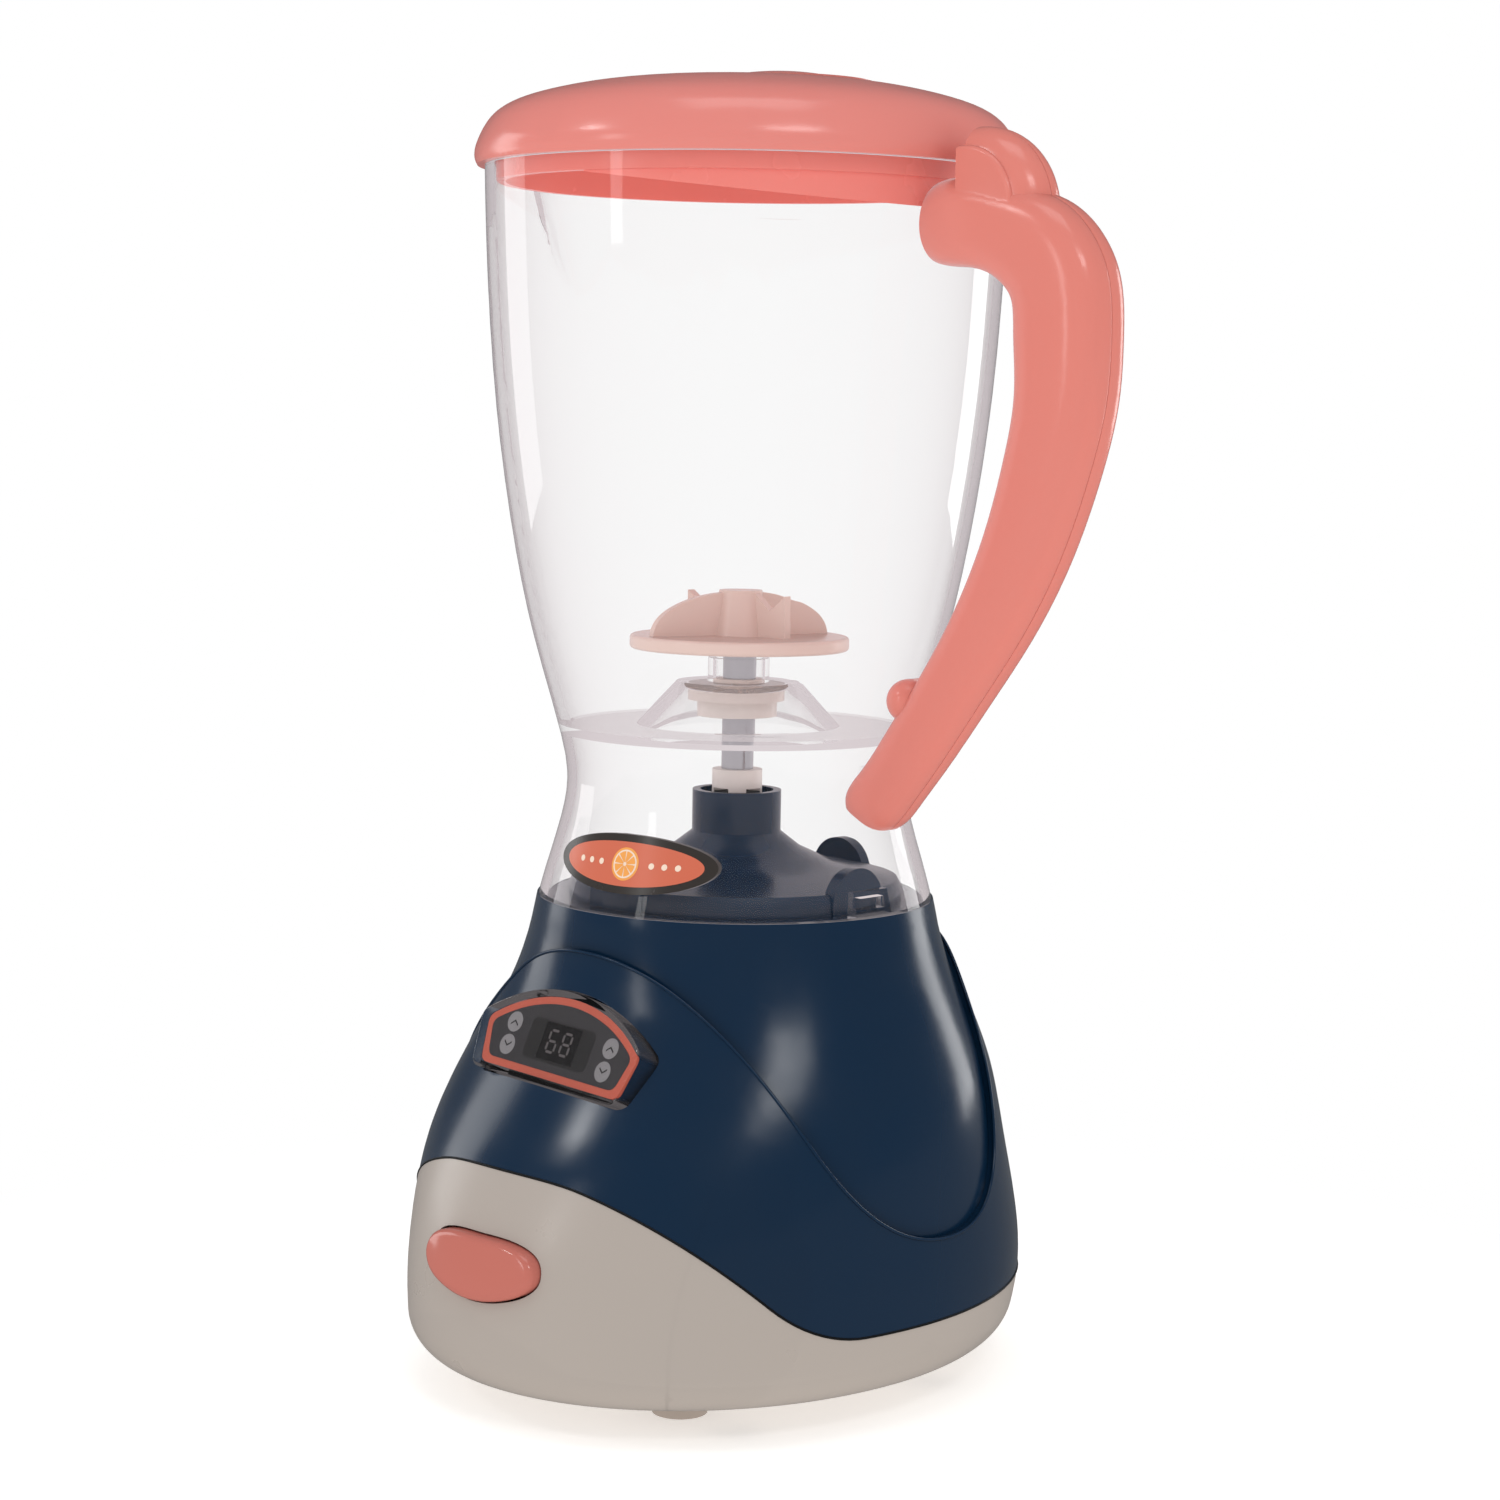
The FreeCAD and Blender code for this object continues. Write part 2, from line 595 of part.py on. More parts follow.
def flank_region():
    """The U-shaped flank, open at the top, that stands behind the front and back panels."""
    height = d.arch_z - d.flank_low_z
    ends = d.neck_y + d.flank_step
    curve = spline(
        [
            Vector(0, -ends, d.arch_z),
            Vector(0, -0.86 * ends, d.flank_low_z + 0.83 * height),
            Vector(0, -0.75 * ends, d.flank_low_z + 0.56 * height),
            Vector(0, -0.61 * ends, d.flank_low_z + 0.28 * height),
            Vector(0, -0.34 * ends, d.flank_low_z + 0.075 * height),
            Vector(0, 0, d.flank_low_z),
            Vector(0, 0.34 * ends, d.flank_low_z + 0.065 * height),
            Vector(0, 0.49 * ends, d.flank_low_z + 0.22 * height),
            Vector(0, 0.56 * ends, d.flank_low_z + 0.53 * height),
            Vector(0, 0.68 * ends, d.flank_low_z + 0.84 * height),
            Vector(0, ends, d.arch_z),
        ]
    )
    left = Part.LineSegment(Vector(0, -REACH, d.arch_z), Vector(0, -ends, d.arch_z)).toShape()
    right = Part.LineSegment(Vector(0, ends, d.arch_z), Vector(0, REACH, d.arch_z)).toShape()
    return side_region([left, curve, right], REACH)


full_bell = bell(0, d.hem_radius)
flank_tool = flank_region().cut(bell(d.flank_step, d.hem_radius))
base_form = full_bell.cut(flank_tool)

inner_form = bell(d.flank_step + d.base_wall, d.hem_radius - d.base_wall)
low_wall_form = bell(d.base_wall, d.hem_radius - d.base_wall)
cavity_box = Part.makeBox(
    2 * REACH, 2 * REACH, d.deck_under - d.floor_top_z, Vector(-REACH, -REACH, d.floor_top_z)
)
cavity = low_wall_form.cut(flank_region()).fuse(inner_form.common(flank_region())).common(cavity_box)
below_seam = seam_region(-d.seam_gap / 2)
up_to_seam = seam_region(d.seam_gap / 2)

# ---------------------------------------------------------------------------------------------
# Display: window, lens, card, board and lamp, drawn flat and then leant back against the panel
# ---------------------------------------------------------------------------------------------
# Local frame of the display: X sideways, Y up the panel, Z out of the face
display_place = Placement(
    Vector(0, d.display_y, d.display_z),
    Rotation(AXIS_X, 90 - d.display_tilt).multiply(Rotation(AXIS_Z, -d.display_roll)),
)


def lens_outline(grow, z):
    """The arched window outline, grown by a distance."""
    top = d.lens_half_top + grow
    foot = d.lens_half_foot + grow
    low_left = Vector(-foot, -d.lens_foot - grow, z)
    low_right = Vector(foot, -d.lens_foot - grow, z)
    high_left = Vector(-top, d.lens_corner + grow / 2, z)
    high_right = Vector(top, d.lens_corner + grow / 2, z)
    arch = Part.Arc(high_right, Vector(0, d.lens_arch + grow, z), high_left).toShape()
    sides = [
        Part.LineSegment(high_left, low_left).toShape(),
        Part.LineSegment(low_left, low_right).toShape(),
        Part.LineSegment(low_right, high_right).toShape(),
    ]
    return Part.Wire([arch] + sides)


def lens_slab(grow, back, front):
    """A slab of the lens outline between two depths, rounded at its four upright corners."""
    slab = prism(lens_outline(grow, back), Vector(0, 0, front - back))
    upright = [e for e in slab.Edges if e.BoundBox.XLength < 1e-6 and e.BoundBox.YLength < 1e-6]
    return slab.makeFillet(max(0.4, 2.2 + grow), upright)


lens_window = lens_slab(d.lens_gap, -d.lens_depth - 2, 12)
lens_window.Placement = display_place

# ---------------------------------------------------------------------------------------------
# Start button outline, drawn in the XZ plane and pushed along Y
# ---------------------------------------------------------------------------------------------


def button_outline(grow, y):
    """Flat-topped bean: blunt ends, a broad top and a rounder lower edge."""
    half = d.button_half_width + grow
    top = d.button_top + grow
    foot = d.button_foot + grow
    right_side = [(1.0, 0.0), (0.93, 0.52), (0.63, 0.9)]
    right_foot = [(0.58, -0.8), (0.9, -0.44)]
    quarter = [(half * x, top * z) for x, z in right_side] + [(0, top)]
    lower = [(0, -foot)] + [(half * x, foot * z) for x, z in right_foot]
    left_side = [(-x, z) for x, z in reversed(quarter[:3])]
    left_foot = [(-x, z) for x, z in reversed(lower[1:])]
    points = [Vector(x, y, d.button_z + z) for x, z in quarter + left_side + left_foot + lower]
    curve = Part.BSplineCurve()
    curve.interpolate(points, PeriodicFlag=True)
    return Part.Wire([curve.toShape()])


def button_slab(grow, front, back):
    return prism(button_outline(grow, front), Vector(0, back - front, 0))


# ---------------------------------------------------------------------------------------------
# base_lower_shell
# ---------------------------------------------------------------------------------------------
CASE_POSTS = [
    (-d.case_front_x, d.case_front_y),
    (d.case_front_x, d.case_front_y),
    (-d.case_rear_x, d.case_rear_y),
    (d.case_rear_x, d.case_rear_y),
]
FEET = {
    "front_left": (-1, "foot_front_y"),
    "front_right": (1, "foot_front_y"),
    "rear_left": (-1, "foot_rear_y"),
    "rear_right": (1, "foot_rear_y"),
}


def bay_block(grow, low, high):
    """A block over the battery bay, grown sideways by a distance."""
    length = d.bay_length + 2 * grow
    width = 2 * (d.bay_half_y + grow)
    corner = Vector(-length / 2, d.bay_y - width / 2, low)
    return Part.makeBox(length, width, high - low, corner)


def lower_shell():
    shell = base_form.common(below_seam).cut(cavity)
    bay = bay_block(d.bay_wall, d.foot_height, d.bay_roof + d.bay_wall)
    shell = shell.fuse(bay)
    for x, y in CASE_POSTS:
        shell = shell.fuse(level_rod(d.case_post_radius, x, y, d.foot_height, d.case_split_z))
    shell = shell.cut(bay_block(0, d.floor_top_z, d.bay_roof))
    door_hole = bay_block(0, -1, d.floor_top_z + 0.01)
    shell = shell.cut(door_hole)
    for x, y in CASE_POSTS:
        shell = shell.cut(level_rod(d.case_head_radius + 0.3, x, y, -1, d.case_ledge_z))
        shell = shell.cut(level_rod(d.case_screw_radius + 0.2, x, y, 0, d.case_split_z + 1))
    socket_top = d.foot_height + d.foot_socket
    for side, y_name in FEET.values():
        shell = shell.cut(level_rod(d.foot_radius, side * d.foot_x, getattr(d, y_name), -1, socket_top))
    shell = shell.cut(button_slab(d.button_gap, -REACH, d.button_flange_y - 0.3))
    for screw_x, screw_y in bracket_screws():
        boss_z = d.floor_top_z
        shell = shell.fuse(level_rod(2.6, screw_x, screw_y, boss_z - 0.5, boss_z + 3.0))
        shell = shell.cut(level_rod(d.small_screw_radius, screw_x, screw_y, boss_z - 0.6, boss_z + 4))
    return shell.removeSplitter()


def bracket_screws():
    """Where the switch bracket's foot is screwed to the floor."""
    y = d.switch_y + d.switch_depth / 2
    return [(-d.bracket_half_width + 1.5, y), (d.bracket_half_width - 1.5, y)]


keep(shaped("base_lower_shell", lower_shell()), "base_lower_shell")

# ---------------------------------------------------------------------------------------------
# base_upper_shell
# ---------------------------------------------------------------------------------------------
PLATE_POST_ANGLES = [30, 150, 270]
SEAT_SCREW_ANGLES = [90, 210, 330]


def on_circle(radius, angle):
    return radius * math.cos(math.radians(angle)), radius * math.sin(math.radians(angle))


def upper_shell():
    shell = base_form.cut(up_to_seam).cut(cavity)
    for angle in PLATE_POST_ANGLES:
        x, y = on_circle(d.plate_post_circle, angle)
        shell = shell.fuse(level_rod(d.plate_post_radius, x, y, d.plate_top, d.deck_top - 0.5))
    for x, y in CASE_POSTS:
        post = level_rod(d.case_post_radius, x, y, d.case_split_z, d.deck_top)
        shell = shell.fuse(post.common(base_form))
    shell = shell.cut(lens_window)
    for angle in PLATE_POST_ANGLES:
        x, y = on_circle(d.plate_post_circle, angle)
        shell = shell.cut(level_rod(d.small_screw_radius, x, y, d.plate_z, d.plate_top + 8))
    for angle in SEAT_SCREW_ANGLES:
        x, y = on_circle(d.seat_screw_circle, angle)
        shell = shell.cut(level_rod(d.small_screw_radius + 0.2, x, y, d.deck_under - 1, d.deck_top + 1))
    for x, y in CASE_POSTS:
        pilot_top = d.case_ledge_z + d.case_screw_length
        shell = shell.cut(level_rod(d.case_screw_radius, x, y, d.case_split_z - 1, pilot_top))
    return shell.cut(level_rod(d.column_bore, 0, 0, d.deck_under - 1, d.deck_top + 1))


keep(shaped("base_upper_shell", upper_shell()), "base_upper_shell")

# ---------------------------------------------------------------------------------------------
# Feet
# ---------------------------------------------------------------------------------------------
for place_name, (side, y_name) in FEET.items():
    foot = cylinder(
        "foot_" + place_name,
        "foot_radius",
        "foot_height + foot_socket",
        x=f"{side} * foot_x",
        y=y_name,
        z="0",
    )
    keep(foot, "foot_" + place_name)

# ---------------------------------------------------------------------------------------------
# Battery door with its screw, cells, contacts and springs
# ---------------------------------------------------------------------------------------------
door_panel = block(
    "door_panel",
    "bay_length - 2 * door_gap",
    "2 * bay_half_y - 2 * door_gap",
    "floor_thickness",
    x="-bay_length / 2 + door_gap",
    y="bay_y - bay_half_y + door_gap",
    z="foot_height",
)
door_rib = block(
    "door_rib",
    "bay_length - 16",
    "cell_gap - 0.2",
    "4",
    x="-bay_length / 2 + 8",
    y="bay_y - cell_gap / 2 + 0.1",
    z="floor_top_z - 1",
)
door_solid = fused("door_solid", [door_panel, door_rib])
door_screw_hole = cylinder(
    "door_screw_hole",
    "small_screw_radius",
    "floor_thickness + 2",
    x="bay_length / 2 - door_gap - 4",
    y="bay_y",
    z="foot_height - 1",
)
door_screw_sink = cylinder(
    "door_screw_sink",
    "small_head_radius + 0.2",
    "small_head_height + 1",
    x="bay_length / 2 - door_gap - 4",
    y="bay_y",
    z="foot_height - 1",
)
keep(cut("battery_door_cut", door_solid, [door_screw_hole, door_screw_sink]), "battery_door")
door_screw_head = cylinder(
    "door_screw_head",
    "small_head_radius",
    "small_head_height",
    x="bay_length / 2 - door_gap - 4",
    y="bay_y",
    z="foot_height",
)
door_screw_shank = cylinder(
    "door_screw_shank",
    "small_screw_radius",
    "floor_thickness + 1.5",
    x="bay_length / 2 - door_gap - 4",
    y="bay_y",
    z="foot_height",
)
keep(fused("battery_door_screw_fused", [door_screw_head, door_screw_shank]), "battery_door_screw")

for cell_name, side in (("cell_front", -1), ("cell_rear", 1)):
    # the two cells lie head to tail
    cell_y = f"bay_y + {side} * (cell_radius + cell_gap / 2)"
    body_x = "cell_left_x" if side < 0 else "-cell_left_x - cell_length"
    button_x = "cell_left_x - cell_button_length" if side < 0 else "-cell_left_x"
    along = (AXIS_Y, 90)
    can = cylinder(
        cell_name + "_can", "cell_radius", "cell_length", x=body_x, y=cell_y, z="cell_z", turn=along
    )
    pole = cylinder(
        cell_name + "_pole",
        "cell_button_radius",
        "cell_button_length",
        x=button_x,
        y=cell_y,
        z="cell_z",
        turn=along,
    )
    keep(fused(cell_name + "_fused", [can, pole]), cell_name)

contact_plates = []
for end in (-1, 1):
    for side in (-1, 1):
        contact_plates.append(
            block(
                f"contact_{'left' if end < 0 else 'right'}_{'front' if side < 0 else 'rear'}",
                "contact_thickness",
                "cell_radius * 1.6",
                "cell_radius * 1.7",
                x="-bay_length / 2" if end < 0 else "bay_length / 2 - contact_thickness",
                y=f"bay_y + {side} * (cell_radius + cell_gap / 2) - cell_radius * 0.8",
                z="floor_top_z + 0.6",
            )
        )
keep(group("battery_contacts_group", contact_plates), "battery_contacts")


def battery_spring(side):
    """The spring at a cell's minus end, from its contact plate to the cell."""
    turns = d.spring_turns
    room = d.bay_spring_room - d.contact_thickness
    pitch = (room - 2 * d.spring_wire) / turns
    spring = coil(d.cell_radius * 0.5, d.spring_wire, pitch, turns)
    spring.translate(Vector(0, 0, d.spring_wire))
    inner_end = d.bay_length / 2 - d.bay_spring_room
    y = d.bay_y + side * (d.cell_radius + d.cell_gap / 2)
    spring.Placement = Placement(
        Vector(-side * inner_end, y, d.cell_z), Rotation(AXIS_Y, -side * 90)
    ).multiply(spring.Placement)
    return spring


keep(
    shaped("battery_springs", Part.makeCompound([battery_spring(-1), battery_spring(1)])),
    "battery_springs",
)

# ---------------------------------------------------------------------------------------------
# Case screws
# ---------------------------------------------------------------------------------------------


def screw_set(name, head_radius, head_height, shank_radius, shank_length, seats, down):
    """Screws whose heads touch their seats: the shanks point up, or down where down is true."""
    screws = []
    for i, (x, y, seat_z) in enumerate(seats):
        head_z = f"{seat_z}" if down else f"{seat_z} - {head_height}"
        shank_z = f"{seat_z} - {shank_length}" if down else f"{seat_z}"
        head = cylinder(f"{name}_head_{i}", head_radius, head_height, x=x, y=y, z=head_z)
        shank = cylinder(f"{name}_shank_{i}", shank_radius, shank_length, x=x, y=y, z=shank_z)
        screws.append(fused(f"{name}_{i}", [head, shank]))
    return keep(group(name + "_group", screws), name)


screw_set(
    "case_screws",
    "case_head_radius",
    "case_head_height",
    "case_screw_radius",
    "case_screw_length",
    [
        ("-case_front_x", "case_front_y", "case_ledge_z"),
        ("case_front_x", "case_front_y", "case_ledge_z"),
        ("-case_rear_x", "case_rear_y", "case_ledge_z"),
        ("case_rear_x", "case_rear_y", "case_ledge_z"),
    ],
    down=False,
)

# ---------------------------------------------------------------------------------------------
# Motor, gearbox plate and its screws
# ---------------------------------------------------------------------------------------------
motor_round = cylinder("motor_round", "motor_radius", "motor_length", y="motor_y", z="plate_z - motor_length")
motor_block = block(
    "motor_block",
    "2 * motor_radius + 2",
    "motor_flat",
    "motor_length",
    x="-motor_radius - 1",
    y="motor_y - motor_flat / 2",
    z="plate_z - motor_length",
)
motor_flats = doc.addObject("Part::Common", "motor_flats")
motor_flats.Base = motor_round
motor_flats.Tool = motor_block
motor_nose = cylinder("motor_nose", "motor_nose_radius", "1.6", y="motor_y", z="plate_z")
motor_solid = fused("motor_solid", [motor_flats, motor_nose])
motor_bore = cylinder(
    "motor_bore",
    "motor_shaft_radius + running_gap",
    "motor_length / 2 + 2",
    y="motor_y",
    z="plate_z - motor_length / 2",
)
keep(cut("motor_can_cut", motor_solid, [motor_bore]), "motor_can")
end_cap_round = cylinder(
    "end_cap_round", "motor_radius - 1", "2.4", y="motor_y", z="plate_z - motor_length - 2.4"
)
end_cap_block = block(
    "end_cap_block",
    "2 * motor_radius",
    "motor_flat - 2",
    "2.4",
    x="-motor_radius",
    y="motor_y - motor_flat / 2 + 1",
    z="plate_z - motor_length - 2.4",
)
end_cap = doc.addObject("Part::Common", "motor_end_cap_common")
end_cap.Base = end_cap_round
end_cap.Tool = end_cap_block
keep(end_cap, "motor_end_cap")
terminals = [
    block(
        f"terminal_{'left' if side < 0 else 'right'}",
        "0.5",
        "2.4",
        "3.2",
        x=f"{side} * (motor_radius - 3) - 0.25",
        y="motor_y - 1.2",
        z="plate_z - motor_length - 5.6",
    )
    for side in (-1, 1)
]
keep(group("motor_terminals_group", terminals), "motor_terminals")

plate_disc = cylinder("plate_disc", "plate_radius", "plate_thickness", z="plate_z")
plate_holes = [
    cylinder("plate_spindle_hole", "spindle_radius + bush_wall", "plate_thickness + 2", z="plate_z - 1"),
    cylinder("plate_nose_hole", "motor_nose_radius", "plate_thickness + 2", y="motor_y", z="plate_z - 1"),
]
for angle in PLATE_POST_ANGLES:
    plate_holes.append(
        cylinder(
            f"plate_screw_hole_{angle}",
            "small_screw_radius",
            "plate_thickness + 2",
            x=f"plate_post_circle * cos({angle})",
            y=f"plate_post_circle * sin({angle})",
            z="plate_z - 1",
        )
    )
for side in (-1, 1):
    plate_holes.append(
        cylinder(
            f"plate_motor_hole_{side + 1}",
            "small_screw_radius - 0.2",
            "plate_thickness + 2",
            x=f"{side} * 7",
            y="motor_y",
            z="plate_z - 1",
        )
    )
keep(cut("gearbox_plate_cut", plate_disc, plate_holes), "gearbox_plate")
screw_set(
    "gearbox_screws",
    "small_head_radius",
    "small_head_height",
    "small_screw_radius",
    "plate_thickness + 6",
    [
        (f"plate_post_circle * cos({a})", f"plate_post_circle * sin({a})", "plate_z")
        for a in PLATE_POST_ANGLES
    ],
    down=False,
)
screw_set(
    "motor_screws",
    "small_head_radius - 0.4",
    "small_head_height - 0.6",
    "small_screw_radius - 0.2",
    "plate_thickness",
    [("-7", "motor_y", "plate_top"), ("7", "motor_y", "plate_top")],
    down=True,
)

# ---------------------------------------------------------------------------------------------
# Gears
# ---------------------------------------------------------------------------------------------


def gear_outline(teeth, turn):
    """Involute teeth with straight roots; the first tooth points along X, turned by some degrees."""
    module = d.gear_module
    pressure = math.radians(d.pressure_angle)
    pitch_radius = module * teeth / 2
    base_radius = pitch_radius * math.cos(pressure)
    tip_radius = pitch_radius + 0.9 * module
    root_radius = pitch_radius - 1.2 * module
    half_tooth = (math.pi * module / 2 - d.backlash) / 2 / pitch_radius
    at_pitch = math.tan(pressure) - pressure
    flank = []
    steps = 4
    low = max(base_radius, root_radius)
    for i in range(steps + 1):
        radius = low + (tip_radius - low) * i / steps
        roll = math.acos(min(1, base_radius / radius))
        flank.append((radius, half_tooth + at_pitch - (math.tan(roll) - roll)))
    points = []
    for tooth in range(teeth):
        middle = 2 * math.pi * tooth / teeth + math.radians(turn)
        ring = [(root_radius, -flank[0][1])] + [(r, -a) for r, a in flank]
        ring += [(r, a) for r, a in reversed(flank)] + [(root_radius, flank[0][1])]
        for radius, angle in ring:
            points.append(Vector(radius * math.cos(middle + angle), radius * math.sin(middle + angle), 0))
    points.append(points[0])
    return Part.makePolygon(points)


def gear(teeth, turn, low, height, x, y, bore):
    solid = prism(gear_outline(teeth, turn), Vector(0, 0, height))
    solid = solid.cut(Part.makeCylinder(bore, height + 2, Vector(0, 0, -1)))
    solid.translate(Vector(x, y, low))
    return solid


def reduction_gear():
    teeth = int(d.gear_teeth)
    wheel = gear(teeth, 90, d.gear_z, d.gear_width, 0, 0, d.spindle_radius)
    web_inner = d.spindle_radius + 2.4
    web_outer = d.gear_pitch - 3 * d.gear_module
    for low in (d.gear_z - 1, d.gear_z + d.gear_width - 1.5):
        ring = Part.makeCylinder(web_outer, 2.5, Vector(0, 0, low))
        ring = ring.cut(Part.makeCylinder(web_inner, 2.5, Vector(0, 0, low)))
        wheel = wheel.cut(ring)
    gear_top = d.gear_z + d.gear_width
    hub = level_rod(web_inner, 0, 0, gear_top, gear_top + 3)
    return wheel.fuse(hub.cut(level_rod(d.spindle_radius, 0, 0, gear_top, gear_top + 3)))


keep(shaped("reduction_gear", reduction_gear()), "reduction_gear")
# a gap of the pinion faces the gear tooth that points along +Y
half_pitch = 180 / d.pinion_teeth
pinion = gear(
    int(d.pinion_teeth),
    -90 + half_pitch,
    d.gear_z - 0.5,
    d.gear_width + 1,
    0,
    d.motor_y,
    d.motor_shaft_radius,
)
keep(shaped("motor_pinion", pinion), "motor_pinion")
keep(
    cylinder(
        "motor_shaft",
        "motor_shaft_radius",
        "motor_length / 2 + plate_thickness + gear_width + 2",
        y="motor_y",
        z="plate_z - motor_length / 2 + 0.3",
    ),
    "motor_shaft",
)

# ---------------------------------------------------------------------------------------------
# Spindle, bushes, jug seat and the driving half of the coupling
# ---------------------------------------------------------------------------------------------
keep(
    cylinder(
        "drive_spindle", "spindle_radius", "dog_low_z + dog_plate - 0.8 - spindle_bottom", z="spindle_bottom"
    ),
    "drive_spindle",
)
keep(
    turned(
        "spindle_lower_bush",
        [
            ("spindle_radius + running_gap", "plate_z"),
            ("spindle_radius + bush_wall", "plate_z"),
            ("spindle_radius + bush_wall", "plate_top"),
            ("spindle_radius + bush_wall + 1.2", "plate_top"),
            ("spindle_radius + bush_wall + 1.2", "plate_top + 1"),
            ("spindle_radius + running_gap", "plate_top + 1"),
        ],
    ),
    "spindle_lower_bush",
)
keep(
    turned(
        "spindle_upper_bush",
        [
            ("spindle_radius + running_gap", "dog_low_z - 9"),
            ("column_bore", "dog_low_z - 9"),
            ("column_bore", "dog_low_z - 1"),
            ("spindle_radius + running_gap", "dog_low_z - 1"),
        ],
    ),
    "spindle_upper_bush",
)


def jug_seat():
    """The cone and column inside the jug's skirt, with four half-round lugs."""
    outline = [
        (d.seat_radius, d.deck_top),
        (d.seat_radius, d.deck_top + d.seat_band - 0.6),
        (d.seat_radius - 0.8, d.deck_top + d.seat_band + 0.9),
        (d.seat_slope_radius, d.seat_slope_z),
        (d.seat_cone_radius, d.seat_cone_z),
        (d.column_radius, d.column_foot_z),
        (d.column_radius, d.column_top_z),
        (d.coupling_bore, d.column_top_z),
        (d.coupling_bore, d.dog_low_z - 0.8),
        (d.column_bore, d.dog_low_z - 0.8),
        (d.column_bore, d.deck_top + d.seat_band),
        (d.column_bore + d.seat_wall, d.deck_top + d.seat_band),
        (d.column_bore + d.seat_wall, d.seat_cone_z),
        (d.seat_cone_radius - 0.6, d.seat_cone_z - d.seat_wall),
        (d.seat_slope_radius - 0.6, d.seat_slope_z - d.seat_wall),
        (d.seat_radius - d.seat_wall, d.deck_top + d.seat_band - d.seat_wall + 0.6),
        (d.seat_radius - d.seat_wall, d.deck_top),
    ]
    points = [Vector(r, 0, z) for r, z in outline]
    seat = Part.Face(Part.makePolygon(points + points[:1])).revolve(Vector(), AXIS_Z, 360)
    above = Part.makeBox(2 * REACH, 2 * REACH, REACH, Vector(-REACH, -REACH, d.deck_top))
    for i in range(4):
        inner = Vector(d.lug_reach - d.lug_thickness, 0, d.lug_z)
        lug = rod(d.lug_radius, inner, Vector(d.lug_reach, 0, d.lug_z)).common(above)
        lug.rotate(Vector(), AXIS_Z, 90 * i)
        seat = seat.fuse(lug)
    for angle in SEAT_SCREW_ANGLES:
        x, y = on_circle(d.seat_screw_circle, angle)
        seat = seat.fuse(level_rod(3.0, x, y, d.deck_top, d.deck_top + d.seat_band + 0.6))
        seat = seat.cut(level_rod(d.small_screw_radius, x, y, d.deck_top - 1, d.deck_top + d.seat_band))
    return seat


keep(shaped("jug_seat", jug_seat()), "jug_seat")
screw_set(
    "seat_screws",
    "small_head_radius",
    "small_head_height",
    "small_screw_radius",
    "deck_thickness + seat_band",
    [
        (f"seat_screw_circle * cos({a})", f"seat_screw_circle * sin({a})", "deck_under")
        for a in SEAT_SCREW_ANGLES
    ],
    down=False,
)


def coupling_teeth(first, low, high):
    """Ring sectors that leave room for the other half's teeth."""
    count = int(d.dog_teeth)
    pitch = 360 / count
    width = pitch / 2 - d.dog_play
    teeth = []
    for i in range(count):
        ring = Part.makeCylinder(d.dog_radius, high - low, Vector(0, 0, low), AXIS_Z, width)
        ring = ring.cut(Part.makeCylinder(d.dog_inner, high - low, Vector(0, 0, low)))
        ring.rotate(Vector(), AXIS_Z, first - width / 2 + pitch * i)
        teeth.append(ring)
    return teeth


def coupling_half(plate_low, plate_high, teeth, bore, bore_low, bore_high):
    half = Part.makeCylinder(d.dog_radius, plate_high - plate_low, Vector(0, 0, plate_low))
    half = half.fuse(teeth)
    return half.cut(Part.makeCylinder(bore, bore_high - bore_low, Vector(0, 0, bore_low)))


spindle_top = d.dog_low_z + d.dog_plate - 0.8
driver = coupling_half(
    d.dog_low_z,
    d.dog_low_top,
    coupling_teeth(0, d.dog_low_top, d.dog_low_top + d.dog_height),
    d.spindle_radius,
    d.dog_low_z,
    spindle_top,
)
keep(shaped("drive_coupler", driver), "drive_coupler")

# ---------------------------------------------------------------------------------------------
# Rotor: driven coupling half, shaft and the finned disc
# ---------------------------------------------------------------------------------------------
driven = coupling_half(
    d.dog_high_z,
    d.dog_high_z + d.dog_plate,
    coupling_teeth(180 / d.dog_teeth, d.dog_low_top + d.dog_gap, d.dog_high_z),
    d.shaft_radius,
    d.dog_high_z + 1.2,
    d.dog_high_z + d.dog_plate,
)
keep(shaped("rotor_coupler", driven), "rotor_coupler")
keep(
    cylinder(
        "rotor_shaft",
        "shaft_radius",
        "disc_top + hub_height / 2 - dog_high_z - 1.2",
        z="dog_high_z + 1.2",
    ),
    "rotor_shaft",
)


def long_fin(angle):
    """A quarter-ellipse fin from the hub to the edge of the disc."""
    quarter = [
        Vector(0, 0, d.disc_top - 0.2),
        Vector(d.fin_reach, 0, d.disc_top - 0.2),
    ]
    arc = [
        Vector(
            d.fin_reach * math.cos(math.radians(t)),
            0,
            d.disc_top + (d.hub_height - 0.2) * math.sin(math.radians(t)),
        )
        for t in (0, 22.5, 45, 67.5, 90)
    ]
    edges = [
        Part.LineSegment(quarter[0], quarter[1]).toShape(),
        Part.LineSegment(quarter[1], arc[0]).toShape(),
        spline(arc),
        Part.LineSegment(arc[-1], quarter[0]).toShape(),
    ]
    fin = prism(Part.Wire(edges), Vector(0, d.fin_thickness, 0))
    fin.translate(Vector(0, -d.fin_thickness / 2, 0))
    fin.rotate(Vector(), AXIS_Z, angle)
    return fin


